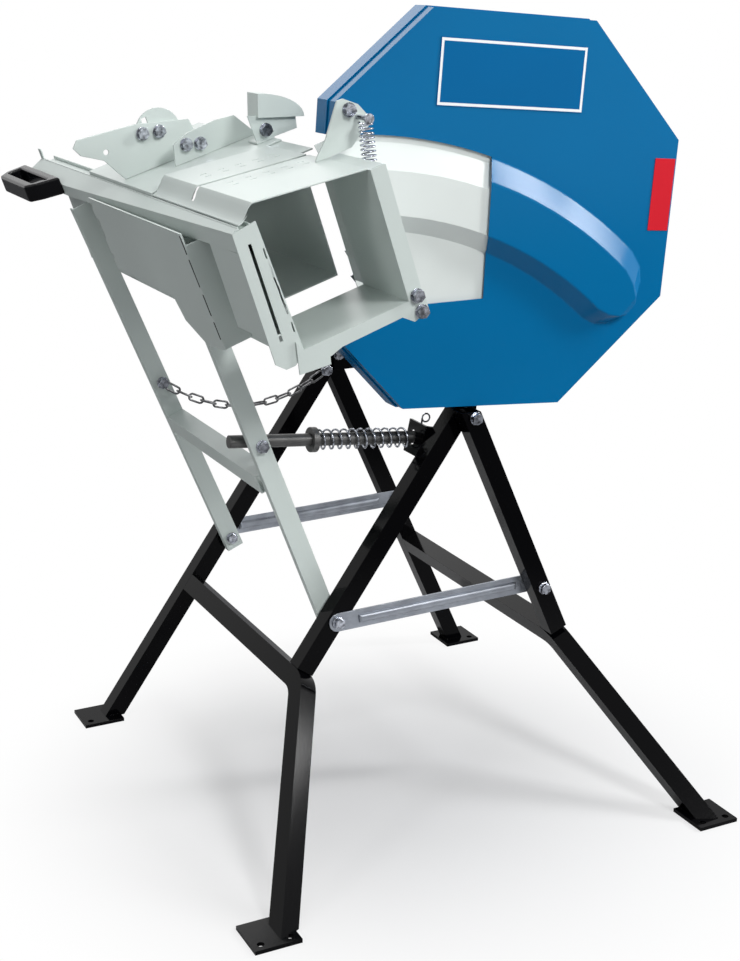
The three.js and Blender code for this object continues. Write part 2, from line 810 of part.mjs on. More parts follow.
// Head plate between the two apexes, with hangers and the motor's pedestal
function headPlate() {
  const top = apexHeight + headPlateRise;
  const low = apexHeight - hangerDrop / 3;
  const left = apexX - hangerLeft;
  const right = apexX + hangerRight;
  let body = block(headPlateLeft, headPlateRight, hangerY, rearHangerY + headPlateThick, top - headPlateThick, top);
  body = join(body, block(left, right, hangerY, hangerY + headPlateThick, low, top));
  body = join(body, block(left, right, rearHangerY, rearHangerY + headPlateThick, low, top));
  const pedestalTop = guardZ - motorRadius - motorFootGap;
  const wall = headPlateThick;
  let pedestal = block(pedestalLeft, pedestalRight, pedestalFront, pedestalRear, top - wall / 2, pedestalTop);
  const inside = pedestalTop - wall;
  pedestal = cut(
    pedestal,
    block(pedestalLeft + wall, pedestalRight - wall, pedestalFront - overrun, pedestalRear + overrun, top, inside),
  );
  body = join(body, pedestal);
  return cut(
    body,
    screwHole(apexX, apexHeight, hangerY - overrun, hangerY + tube),
    screwHole(apexX, apexHeight, rearHangerY - overrun, rearHangerY + tube),
  );
}
piece(saw, "motor_stand", headPlate(), black);

// Motor, lying along Y behind the guard
function motorBody() {
  let body = barY(guardX, guardZ, motorRadius, motorFront + overrun, motorRear, 32);
  const flange = motorRadius + overrun / 2;
  body = join(body, barY(guardX, guardZ, flange, motorFront, motorFront + 2 * overrun, 32));
  body = cut(body, block(-reach, reach, 0, reach, -reach, guardZ - motorRadius));
  body = cut(body, barY(guardX, guardZ, boreRadius + holeClear, motorFront - overrun, motorRear - tube, 20));
  return body;
}
piece(saw, "motor_housing", motorBody(), blue);

function fanCover() {
  const start = motorRear + seat;
  const end = start + fanDepth;
  let body = barY(guardX, guardZ, motorRadius, start, end, 32);
  body = cut(body, barY(guardX, guardZ, motorRadius - sheet, start - overrun, end - sheet, 32));
  for (let i = 0; i < 6; i += 1) {
    const angle = (Math.PI * i) / 3;
    const x = guardX + (motorRadius / 2) * Math.cos(angle);
    const z = guardZ + (motorRadius / 2) * Math.sin(angle);
    body = cut(body, barY(x, z, motorRadius / 6, end - tube, end + overrun, 10));
  }
  return body;
}
piece(saw, "motor_fan_cover", fanCover(), plastic);

// Switch box on the motor's right side, with two push buttons and the mains inlet
const boxLeft = guardX + motorRadius + seat;
const boxRight = boxLeft + boxDepth;
const boxLow = guardZ - boxBelow;
const boxHigh = boxLow + boxHeight;
const boxMiddleZ = (boxLow + boxHigh) / 2;
const boxMiddleY = (boxFront + boxRear) / 2;
const startZ = boxMiddleZ + buttonSpace / 2;
const stopZ = boxMiddleZ - buttonSpace / 2;
function switchBox() {
  let body = block(boxLeft, boxRight, boxFront, boxRear, boxLow, boxHigh);
  body = cut(
    body,
    block(boxLeft + boxWall, boxRight - boxWall, boxFront + boxWall, boxRear - boxWall, boxLow + boxWall, boxHigh - boxWall),
  );
  for (const z of [startZ, stopZ]) {
    body = cut(body, barX(boxMiddleY, z, buttonRadius + holeClear, boxRight - boxWall - overrun, boxRight + overrun, 20));
  }
  return join(body, mainsInlet());
}

// Round socket of the mains inlet with its three pins
function mainsInlet() {
  const x = (boxLeft + boxRight) / 2;
  const start = boxRear - boxWall / 2;
  let body = barY(x, boxMiddleZ, inletRadius, start, start + inletDepth, 20);
  body = cut(body, barY(x, boxMiddleZ, inletRadius - 2 * sheet, start + 2 * boxWall, start + 2 * inletDepth, 20));
  for (let i = 0; i < 3; i += 1) {
    const angle = (2 * Math.PI * i) / 3;
    const px = x + (inletRadius / 3) * Math.cos(angle);
    const pz = boxMiddleZ + (inletRadius / 3) * Math.sin(angle);
    body = join(body, barY(px, pz, sheet, start + boxWall, start + inletDepth - overrun, 8));
  }
  return body;
}
piece(saw, "switch_box", switchBox(), plastic);

function button(z) {
  const back = boxRight - boxWall - buttonProud;
  return barX(boxMiddleY, z, buttonRadius, back, boxRight + buttonProud, 20);
}
piece(saw, "start_button", button(startZ), green);
piece(saw, "stop_button", button(stopZ), red);

// Guard covers, drawn about the guard's middle and tilted with it
function octagon(grow) {
  const side = grow * Math.tan(Math.PI / 8);
  const left = guardHalfLeft + grow;
  const right = guardHalfRight + grow;
  const high = guardHalfHeight + grow;
  return [
    [-guardFlat - side, high],
    [-left, guardLeftFlat + side],
    [-left, -guardLeftFlat - side],
    [-guardFlat - side, -high],
    [guardFlat + side, -high],
    [right, -guardSideFlat - side],
    [right, guardSideFlat + side],
    [guardFlat + side, high],
  ];
}

function tilted([a, b]) {
  return [
    guardX + a * Math.cos(guardTilt) + b * Math.sin(guardTilt),
    guardZ - a * Math.sin(guardTilt) + b * Math.cos(guardTilt),
  ];
}

// Everything to the right of the opening's edge, which leans with the guard and runs back on a slant
const openBottomZ = guardZ - openDrop;
function pastEdge(shift) {
  const slab = new THREE.BoxGeometry(reach, reach, reach);
  slab.translate(reach / 2, 0, 0);
  slab.rotateZ(-openSlant);
  slab.rotateY(openLean);
  slab.translate(openRightX + shift, guardFront, openBottomZ);
  return solid(slab);
}

// Space that the log and the trough sweep through, bounded by arcs about the rocker's pivot
function logSpace(y0, y1) {
  const start = -Math.PI / 8;
  const arc = arcPoints(openTopRadius, start, Math.PI / 6, 2 * arcSteps);
  const points = arc.map(([a, b]) => [pivotX + a, pivotHeight + b]);
  points.push([points[points.length - 1][0], openBottomZ]);
  points.push([points[0][0], openBottomZ]);
  const edge = new THREE.BoxGeometry(reach, reach, reach);
  edge.translate(reach / 2, reach / 2, 0);
  edge.rotateY(openLean);
  edge.translate(openRightX, guardFront, openBottomZ);
  return cut(plateXZ(points, y0, y1), pastEdge(0), solid(edge));
}

// Left side, open below the stub under the upper corner
function leftMouth() {
  const far = guardHalfLeft + tube;
  const near = guardHalfLeft - tube / 3;
  const corners = [[-far, guardLeftStub], [-far, -guardLeftFlat], [-near, -guardLeftFlat], [-near, guardLeftStub]];
  return plateXZ(corners.map(tilted), guardFront - tube, guardRear + tube);
}

// Raised channel about the rocker's pivot, which narrows to a round end
function hump(inner, outer, base, crest, angle0, angle1, rounded) {
  const middle = (inner + outer) / 2;
  const wide = (outer - inner) / 2;
  const rings = [];
  const add = (angle, share) => {
    const w = wide * share;
    const low = Math.max(w - humpSlopeInner, w * flatShare);
    const top = Math.max(w - humpSlopeOuter, w * flatShare * flatShare);
    const high = base + (crest - base) * Math.min(1, share / risingShare);
    const profile = [[middle - w, base], [middle - low, high], [middle + top, high], [middle + w, base]];
    rings.push(profile.map(([r, y]) => new THREE.Vector3(r * Math.sin(angle), y, r * Math.cos(angle))));
  };
  const straight = angle1 - rounded;
  for (let i = 0; i < arcSteps; i += 1) {
    add(angle0 + ((straight - angle0) * i) / arcSteps, 1);
  }
  for (const [share, width] of humpEndShares) {
    add(straight + rounded * share, width);
  }
  return sweep(rings, new THREE.Vector3(pivotX, 0, pivotHeight));
}

const humpStart = Math.asin((openRightX - pivotX) / openTopRadius) - humpEndSpan;
const crestY = guardFront - humpDepth;
const frontInside = guardFront + guardSkin;
const skinTurn = guardSkin / humpOuter;
function frontCover() {
  let body = plateXZ(octagon(0).map(tilted), guardFront, guardSeam);
  body = join(body, hump(humpInner, humpOuter, frontInside, crestY, humpStart, humpEndAngle, humpEndSpan));
  body = cut(body, plateXZ(octagon(-guardSkin).map(tilted), frontInside, guardRear));
  const inner = humpInner + guardSkin;
  const outer = humpOuter - guardSkin;
  const early = humpStart - humpEndSpan;
  const end = humpEndAngle - skinTurn;
  body = cut(body, hump(inner, outer, frontInside + guardSkin, crestY + guardSkin, early, end, humpEndSpan));
  return cut(body, logSpace(guardFront - tube, guardRear + tube), leftMouth());
}
piece(saw, "guard_front_cover", frontCover(), blue);

function rearCover() {
  const lap = guardLap + guardSkin;
  let body = plateXZ(octagon(lap).map(tilted), guardSeam - 2 * overrun, guardRear);
  body = cut(body, plateXZ(octagon(guardLap).map(tilted), guardFront, guardRear - guardSkin));
  body = cut(body, logSpace(guardFront, guardRear + tube), leftMouth());
  return cut(body, barY(guardX, guardZ, boreRadius + overrun, guardSeam, guardRear + tube, 24));
}
piece(saw, "guard_rear_cover", rearCover(), blue);

// Bare plates where the front carries its marks
function facePlate(a, b, width, height, thick) {
  const corners = [
    [a - width / 2, b - height / 2],
    [a + width / 2, b - height / 2],
    [a + width / 2, b + height / 2],
    [a - width / 2, b + height / 2],
  ];
  return plateXZ(corners.map(tilted), guardFront - seat - thick, guardFront - seat);
}
const labelA = guardHalfRight - labelWidth / 2 - sheet;
const labelB = guardSideFlat - labelHeight / 2 - labelDrop;
piece(saw, "guard_panel", facePlate(panelShift, panelLift, panelWidth, panelHeight, labelThick), darkBlue);
piece(saw, "guard_label", facePlate(labelA, labelB, labelWidth, labelHeight, labelThick), red);

// Arbor, collars, blade and nut
const bladeBack = bladeY + bladeThick;
function arbor() {
  const shaftRear = motorRear - tube - overrun;
  const front = bladeY - collarThick - arborNutHeight - 3 * seat;
  let body = barY(guardX, guardZ, boreRadius, bladeBack + collarThick, shaftRear, 20);
  body = join(body, barY(guardX, guardZ, collarRadius, bladeBack + seat, bladeBack + seat + collarThick, 32));
  return join(body, barY(guardX, guardZ, boreRadius * noseShare, front, bladeBack + 3 * collarThick, 20));
}
function ring(outer, inner, y0, y1, sides) {
  return cut(barY(guardX, guardZ, outer, y0, y1, sides), barY(guardX, guardZ, inner, y0 - overrun, y1 + overrun, 20));
}
const arborHole = boreRadius * noseShare + seat;
piece(saw, "arbor_shaft", arbor(), steel);
piece(saw, "outer_collar", ring(collarRadius, arborHole, bladeY - seat - collarThick, bladeY - seat, 32), steel);
const nutBack = bladeY - 2 * seat - collarThick;
piece(saw, "arbor_nut", ring(arborNutFlats / Math.sqrt(3), arborHole, nutBack - arborNutHeight, nutBack, 6), steel);

function blade() {
  const points = [];
  for (let i = 0; i < toothCount; i += 1) {
    const start = (2 * Math.PI * i) / toothCount;
    const pitch = (2 * Math.PI) / toothCount;
    const shares = [[0, bladeRadius], [0.04, bladeRadius - toothDepth], [0.5, bladeRadius - toothDepth * 0.8]];
    for (const [share, r] of shares) {
      const angle = start + share * pitch;
      points.push([guardX + r * Math.sin(angle), guardZ + r * Math.cos(angle)]);
    }
  }
  const disc = plateXZ(points, bladeY, bladeBack);
  return cut(disc, barY(guardX, guardZ, arborHole, bladeY - overrun, bladeBack + overrun, 20));
}
piece(saw, "saw_blade", blade(), steel);

// Rocker, which swings about the pivot bolts
function leaningRocker(lean) {
  const group = new THREE.Group();
  group.position.set(pivotX, 0, pivotHeight);
  group.rotation.y = -lean;
  saw.add(group);
  return group;
}
const frontLegFrame = leaningRocker(frontLegLean);
const legFrame = leaningRocker(legLean);
const trough = leaningRocker(troughLean);

// Folded channel, open to the rear, as leg
function channelLeg(y, top) {
  const wide = legWidth / 2;
  const inner = wide - sheet;
  let body = block(-wide, wide, y, y + legDepth, -legFoot, top);
  body = cut(body, block(-inner, inner, y + sheet, y + legDepth + overrun, -legFoot - overrun, top + overrun));
  return cut(body, screwHole(0, 0, y - overrun, y + legDepth));
}
const rodHole = screwHole(rodPivotX, rodPivotZ, frontLegY - overrun, frontLegY + legDepth);
piece(frontLegFrame, "rocker_front_leg", cut(channelLeg(frontLegY, frontLegTop), rodHole), grey);
const chainHole = screwHole(0, chainLegZ, rearLegY - overrun, rearLegY + legDepth);
piece(legFrame, "rocker_rear_leg", cut(channelLeg(rearLegY, rearLegTop), chainHole), grey);

function crossBar() {
  const y0 = frontLegY + legDepth + seat;
  const y1 = rearLegY - seat;
  const wide = legWidth / 2;
  const low = crossBarBottom;
  const high = low + crossBarHeight;
  const body = block(-wide, wide, y0, y1, low, high);
  return cut(body, block(-wide + sheet, wide + overrun, y0 - overrun, y1 + overrun, low + sheet, high - sheet));
}
piece(legFrame, "rocker_cross_bar", crossBar(), grey);

// Left wall of the trough, whole from front to rear, slotted for the blade
const wallTopW = floorW + wallHeight;
const wallBottomW = floorW - wallBelow;
const wallOut = leftWallU;
const wallIn = leftWallU + sheet;
const bladeMiddle = bladeY + bladeThick / 2;
function leftWall() {
  let body = block(wallOut, wallIn, troughFront, troughRear, wallBottomW, wallTopW);
  const slot0 = bladeMiddle - bladeSlot / 2;
  return cut(body, block(wallOut - overrun, wallIn + overrun, slot0, slot0 + bladeSlot, floorW + bladeSlotRise, wallTopW - sheet));
}
piece(trough, "trough_left_wall", leftWall(), grey);

// Trays of floor, right wall and flanges, in front of and behind the blade guard
const trayLeft = wallIn + seat;
const trayRight = rightWallU + sheet;
function tray(y0, y1) {
  let body = block(trayLeft, trayRight, y0, y1, floorW - sheet, floorW);
  body = join(body, block(rightWallU, trayRight, y0, y1, floorW - sheet, wallTopW + sheet));
  return join(body, block(rightWallU, rightWallU + wallFlange, y0, y1, wallTopW, wallTopW + sheet));
}
const hookU = trayRight + wallFlange - sheet + hookReach;
const hookY = leverY - hookForward;
const hookW = wallTopW - hookDrop;
function springHook() {
  const left = rightWallU + wallFlange - sheet;
  const y = hookY - hookPin;
  const low = hookW - 2 * hookPin;
  const pinW = hookW - hookPin / 2 - 4 * seat;
  const stem = block(left, left + hookPin, y, y + hookPlate, low, wallTopW + sheet / 2);
  const arm = block(left, hookU + hookPin / 2, y, y + hookPlate, low, pinW + hookPin / 4);
  return join(stem, arm, barY(hookU, pinW, hookPin / 2, y, hookY + tensionRadius + hookPin, 10));
}
const lugY1 = troughFront - sheet - 2 * seat;
const lugY0 = lugY1 - sheet;
const lugBoltU = lugLeftU + lugWidth - lugBoltInset;
const lugBoltW = [floorW + lugBoltRise, floorW + lugBoltRise - lugBoltPitch];
function frontTray() {
  const edge = rightWallU + wallFlange;
  let body = tray(troughFront, guardGapFront);
  body = join(body, block(frontPlateFootU + 2 * seat, trayRight, lugY0, troughFront + sheet, floorW - sheet, floorW));
  body = join(body, block(rightWallU, trayRight, lugY0, troughFront + sheet, floorW, wallTopW + sheet));
  body = join(body, block(rightWallU, edge, lugY0, lugY1, floorW, wallTopW + sheet));
  const points = lugWidthShares.map((u, i) => [lugLeftU + u * lugWidth, floorW - lugDrop + lugHeightShares[i] * lugHeight]);
  body = join(body, plateXZ(points.reverse(), lugY0, lugY1));
  for (const w of lugBoltW) {
    body = cut(body, screwHole(lugBoltU, w, troughFront - tube, troughFront + tube));
  }
  return join(body, springHook());
}
piece(trough, "front_tray", frontTray(), grey);
piece(trough, "rear_tray", tray(guardGapRear, trayRear), grey);
piece(trough, "upper_lug_bolt", screwY(lugBoltU, lugBoltW[0], lugY0 - seat, lugY1 + seat), zinc);
piece(trough, "lower_lug_bolt", screwY(lugBoltU, lugBoltW[1], lugY0 - seat, lugY1 + seat), zinc);

// Front end plate with the long rod slot and a row of edge slots
const frontBoxTopW = wallTopW - railDrop - seat;
const frontBoxBottomW = frontBoxTopW - frontBoxHeight;
function frontPlate() {
  const y1 = troughFront - seat;
  const foot = floorW - frontPlateFoot;
  const points = [
    [frontBoxU, wallTopW - railTopFall],
    [frontBoxU, foot + frontPlateFootWidth],
    [frontBoxU + frontPlateFootWidth, foot],
    [leftWallU, foot],
    [frontPlateFootU, floorW - 2 * sheet],
    [frontPlateRightU, wallTopW - seat],
  ];
  let body = plateXZ(points, y1 - sheet, y1);
  const slot = rodSlotWidth / 2;
  const slotU = frontBoxU + rodSlotInset;
  const low = floorW + rodSlotRise;
  body = cut(body, block(slotU - slot, slotU + slot, y1 - tube, y1 + tube, low, low + rodSlotLength));
  const lean = Math.atan2(frontPlateFootU - frontPlateRightU, wallHeight);
  for (let i = 0; i < edgeSlotCount; i += 1) {
    const rise = edgeSlotRise + i * edgeSlotPitch;
    const u = frontPlateFootU - edgeSlotInset - rise * Math.tan(lean) - edgeSlotLength * Math.tan(lean);
    const w = floorW + rise;
    body = cut(body, block(u - edgeSlotWidth, u, y1 - tube, y1 + tube, w, w + edgeSlotLength));
  }
  return body;
}

// Side box folded on behind the front end plate, open above
function frontBox() {
  const y0 = troughFront - sheet;
  const rear = troughFront + frontBoxDepth;
  const right = leftWallU - seat;
  let body = block(frontBoxU, frontBoxU + sheet, y0, rear, frontBoxBottomW, frontBoxTopW);
  body = join(body, block(frontBoxU, right, y0, rear, frontBoxBottomW, frontBoxBottomW + sheet));
  return join(body, block(frontBoxU, right, rear - sheet, rear, frontBoxBottomW, frontBoxTopW));
}
piece(trough, "front_plate", join(frontPlate(), frontBox()), grey);

// Large side plate against the front rocker leg, folded round to the trough in front
const troughStep = frontLegLean - troughLean;
const sidePlateTop = wallTopW - sidePlateDrop;
const sidePlateX = -legWidth / 2 - seat - sheet;
const sidePlateRear = sidePlateFront + sidePlateLength;
const sideFoldTop = wallTopW - railDrop - sheet;
const sideLow = (share) => sidePlateTop - share * sidePlateHeight;
function sidePlate() {
  const x0 = sidePlateX;
  const points = sidePlateLengthShares.map((share, i) => [
    sidePlateFront + share * sidePlateLength,
    sideLow(sidePlateDropShares[i]),
  ]);
  points.push([sidePlateFront, sidePlateTop], [sidePlateRear, sidePlateTop]);
  const frontLow = sideLow(sidePlateDropShares[sidePlateDropShares.length - 1]);
  const rearLow = sideLow(sidePlateDropShares[0]);
  const fold = block(x0, x0 + sideFold, sidePlateRear - sheet, sidePlateRear, rearLow, sideFoldTop);
  const frontSlots = foldSlots(frontSlotShares, sidePlateFront + sheet, frontLow);
  const rearSlots = foldSlots(rearSlotShares, sidePlateRear - sheet - sideSlotWidth, rearLow);
  return cut(join(plateYZ(points, x0, x0 + sheet), frontWall(frontLow), fold), ...frontSlots, ...rearSlots);
}

// Wall from the plate across to the trough, its lower edge turned back
function frontWall(low) {
  const inTrough = (u, w) => [
    u * Math.cos(troughStep) + w * Math.sin(troughStep),
    w * Math.cos(troughStep) - u * Math.sin(troughStep),
  ];
  const bend = low + sideWallLip;
  const wallU = leftWallU - seat;
  const top = wallTopW - railDrop - seat;
  const edge = (w) => inTrough(wallU, w);
  const outer = inTrough(railLeftU, top);
  const x0 = sidePlateX;
  const y0 = sidePlateFront;
  const wall = plateXZ([[x0, bend], edge(bend), edge(top), [x0, outer[1]]], y0, y0 + sheet);
  const lip = [[x0, low], edge(low), edge(bend + sheet), [x0, bend + sheet]];
  return join(wall, plateXZ(lip, y0 + sheet / 2, y0 + sheet + sheet / 2));
}

// Long slots beside a folded edge, which let the sheet bend there
function foldSlots(pairs, y, low) {
  const high = sidePlateTop - low;
  const x = sidePlateX;
  return pairs.map(([a, b]) =>
    block(x - sheet, x + sheet + seat, y, y + sideSlotWidth, sidePlateTop - b * high, sidePlateTop - a * high),
  );
}
piece(frontLegFrame, "side_plate", sidePlate(), grey);

// Rail along the top edge, which grows wider to the rear, with the little tab at its end
function rail() {
  const right = railRightU;
  const low = wallTopW - railDrop;
  const ring = (y, left, fall) => {
    const corners = [
      [right, wallTopW],
      [right, wallTopW - sheet],
      [left + sheet, wallTopW - sheet - fall],
      [left + sheet, low],
      [left, low],
      [left, wallTopW - fall],
    ];
    return corners.map(([u, w]) => new THREE.Vector3(u, y, w));
  };
  let body = sweep([
    ring(railFront, railLeftU + railTaper, railTopFall),
    ring(railFront + railTaperLength, railLeftU, railTopFallRear),
    ring(railRear, railLeftU, railTopFallRear),
  ]);
  const tabY = railRear - railTab;
  body = join(body, block(right - sheet, right, tabY, railRear, wallTopW - sheet, wallTopW + railTabHeight));
  body = join(body, block(right - sheet, right, railFront, troughRear, wallTopW - 3 * sheet, wallTopW));
  const web = wallTopW - 2 * sheet;
  return join(body, block(right - sheet, leftWallU - seat, railFront, troughRear, web - sheet, web));
}
piece(trough, "top_rail", rail(), grey);

// Black handle, a closed loop beside the rail's rear end
function handle() {
  const right = railLeftU - seat;
  const left = railLeftU - handleReach;
  const near = railRear - handleWidth;
  const loop = (inset) => [
    [right - inset, near + inset],
    [right - inset, railRear - inset],
    [left + handleCorner, railRear - inset],
    [left + inset, railRear - handleCorner],
    [left + inset, near + handleBevel],
    [left + handleCorner + inset, near + handleBevel - handleCorner + inset],
  ];
  const high = wallTopW;
  const body = plateXY(loop(0), high - handleHeight, high);
  return cut(body, plateXY(loop(handleBar), high - handleHeight - overrun, high + overrun));
}
piece(trough, "handle", handle(), plastic);

// Moving guard sheet with its raised channel, held on the front tray's right wall
function shield() {
  const back = shieldY + guardSkin;
  const crest = shieldY - humpDepth;
  const inner = humpInner + humpNestInner;
  const outer = humpOuter - humpNestOuter;
  const fold = guardSkin / 2;
  const profile = [
    [shieldInner, back],
    [shieldInner, shieldY],
    [inner, shieldY],
    [inner + humpSlopeInner, crest],
    [outer - humpSlopeOuter, crest],
    [outer, shieldY],
    [shieldOuter, shieldY],
    [shieldOuter, back],
    [outer - fold, back],
    [outer - humpSlopeOuter - fold, crest + guardSkin],
    [inner + humpSlopeInner + fold, crest + guardSkin],
    [inner + fold, back],
  ];
  const early = troughLean - shieldEarly;
  let body = sector(profile, early, shieldEndAngle + troughLean, arcSteps);
  const start = trayRight + seat;
  body = cut(body, block(-reach, start, -reach, reach, -reach, reach));
  body = cut(body, block(-reach, start + shieldNotch, -reach, reach, wallTopW + shieldNotchRise, reach));
  const edge = new THREE.BoxGeometry(reach, reach, reach);
  edge.translate(reach / 2, 0, 0);
  edge.rotateZ(-openSlant);
  edge.rotateY(openLean);
  edge.translate(openRightX + shieldLap - pivotX, guardFront, openBottomZ - pivotHeight);
  edge.rotateY(troughLean);
  body = cut(body, solid(edge));
  return join(body, block(start, start + guardSkin, guardGapFront - shieldTabDepth, back, floorW, wallTopW - seat));
}
piece(trough, "moving_guard", shield(), grey);

// Hinged front roof with claw slots and the blade slot
const roofLeft = railRightU + seat;
const roofRightU = rightWallU - roofRightGap;
const roofLowW = wallTopW + seat;
const roofRightW = roofLowW + roofRise - roofFall;
const roofRear = troughFront + roofLength;
function roofSheet() {
  const under = roofShoulderShares.map(([a, b]) => [roofLeft + a * roofShoulder, roofLowW + b * roofRise]);
  under.push([roofRightU, roofRightW]);
  const over = under.map(([u, w]) => [u, w + roofThick]).reverse();
  let body = plateXZ([...under, ...over], troughFront, roofRear);
  const slot0 = bladeMiddle - bladeSlot / 2;
  const slotLeft = leftWallU - sheet;
  const below = roofLowW - tube;
  const above = roofLowW + roofRise + tube;
  body = cut(body, block(slotLeft, roofRightU + overrun, slot0, slot0 + bladeSlot, below, above));
  for (const a of clawAcrossShares) {
    for (const b of clawAlongShares) {
      const u = roofLeft + a * (roofRightU - roofLeft);
      const y = troughFront + b * roofLength;
      body = cut(body, block(u, u + clawLength, y, y + clawWidth, below, above));
    }
  }
  return body;
}
piece(trough, "clamp_roof", roofSheet(), grey);

// Lever plate screwed to the roof's right edge, which the spring pulls down
const leverLeft = roofRightU - leverInset;
const leverRest = (leverInset * roofFall) / (roofRightU - roofLeft - roofShoulder);
const leverLow = roofRightW + leverRest + roofThick + seat;
const leverBoltU = leverLeft + leverBoltWidthShare * leverWidth;
const leverBoltW = leverLow + leverBoltHeightShare * leverHeight;
const leverPinU = leverLeft + leverPinWidthShare * leverWidth;
const leverPinW = leverLow + leverPinHeightShare * leverHeight;
function leverPlate() {
  const points = leverWidthShares.map((u, i) => [leverLeft + u * leverWidth, leverLow + leverHeightShares[i] * leverHeight]);
  const body = plateXZ(points, leverY, leverY + leverThick);
  const front = leverY - leverPinReach;
  const pin = barY(leverPinU, leverPinW, leverPin / 2, front, leverY + leverThick / 2, 12);
  const cap = barY(leverPinU, leverPinW, leverPin, front - leverThick, front, 12);
  const washer = barY(leverBoltU, leverBoltW, washerOuter / 2, leverY - washerThick, leverY + seat, 16);
  const head = barY(leverBoltU, leverBoltW, headFlats / Math.sqrt(3), leverY - washerThick - headHeight, leverY - seat, 6);
  return join(body, pin, cap, washer, head);
}
piece(trough, "roof_lever", leverPlate(), grey);

const springTopY = leverY - leverPinReach / 2 - tensionRadius / 2;
const springTop = new THREE.Vector3(leverPinU, springTopY, leverPinW - leverPin / 2 - seat);
const springFoot = new THREE.Vector3(hookU, hookY, hookW);
const springFrame = new THREE.Group();
springFrame.position.copy(springFoot);
const springWay = springTop.clone().sub(springFoot);
springFrame.quaternion.setFromUnitVectors(new THREE.Vector3(1, 0, 0), springWay.clone().normalize());
trough.add(springFrame);
piece(springFrame, "clamp_spring", coil(springWay.length(), tensionRadius, tensionWire, tensionCurls), zinc);

// Fixed roof behind the clamp, with the plates that stand on it
const rearRoofLow = wallTopW + sheet + seat;
function rearRoof() {
  const right = rightWallU + wallFlange;
  const high = rearRoofLow + roofThick;
  const front = roofRear + rearRoofGap;
  const rear = front + rearRoofLength;
  const body = block(roofLeft, right, front, rear, rearRoofLow, high);
  return join(body, block(roofLeft, roofLeft + roofThick, front, rear, wallTopW - sheet, high));
}
piece(trough, "rear_roof", rearRoof(), grey);

const standW = rearRoofLow + roofThick + seat;
function standing(left, length, high, lengthShares, highShares, y) {
  const points = lengthShares.map((a, i) => [left + a * length, standW + highShares[i] * high]);
  return plateXZ(points.reverse(), y, y + armThick);
}
const armY = troughFront + armPlace;
const armBoltU = armBoltLengthShares.map((a) => armLeftU + a * armLength);
const armBoltW = armBoltHeightShares.map((b) => standW + b * armHeight);
let armPlate = standing(armLeftU, armLength, armHeight, armLengthShares, armHeightShares, armY);
const armHoleU = armLeftU + armHoleLengthShare * armLength;
const armHoleW = standW + armHoleHeightShare * armHeight;
armPlate = cut(armPlate, barY(armHoleU, armHoleW, armHole / 2, armY - overrun, armY + overrun, 12));
armBoltU.forEach((u, i) => {
  armPlate = cut(armPlate, screwHole(u, armBoltW[i], armY - overrun, armY + overrun));
});
piece(trough, "hold_down_arm", armPlate, grey);

const moonU = armBoltU[1];
const moonW = standW + moonRise;
function halfMoon() {
  const y0 = armY + armThick + seat;
  const points = arcPoints(moonRadius, -Math.PI / 2, Math.PI / 2, arcSteps);
  const placed = points.map(([a, b]) => [moonU + a, moonW + b]);
  placed.push([moonU + moonRadius, standW]);
  placed.push([armBoltU[0] - headFlats / 2, standW]);
  let body = plateXZ(placed.reverse(), y0, y0 + armThick);
  const slot = moonSlotWidth / 2;
  const left = moonU - moonSlotReach;
  body = cut(body, block(left - slot, left + slot, y0 - overrun, y0 + tube, moonW + slot, moonW + moonRadius - 2 * slot));
  armBoltU.forEach((u, i) => {
    body = cut(body, screwHole(u, armBoltW[i], y0 - overrun, y0 + tube));
  });
  return body;
}
piece(trough, "half_moon_plate", halfMoon(), grey);
armBoltU.forEach((u, i) => {
  const bolt = screwY(u, armBoltW[i], armY - seat, armY + 2 * armThick + 2 * seat);
  piece(trough, `arm_bolt_${i + 1}`, bolt, zinc);
});

const stopY = troughFront + stopPlace;
let stopPlate = standing(stopLeftU, stopLength, stopHeight, stopLengthShares, stopHeightShares, stopY);
stopBoltLengthShares.forEach((a, i) => {
  const u = stopLeftU + a * stopLength;
  const w = standW + stopBoltHeightShares[i] * stopHeight;
  stopPlate = join(stopPlate, screwY(u, w, stopY, stopY + armThick));
});
piece(trough, "stop_plate", stopPlate, grey);

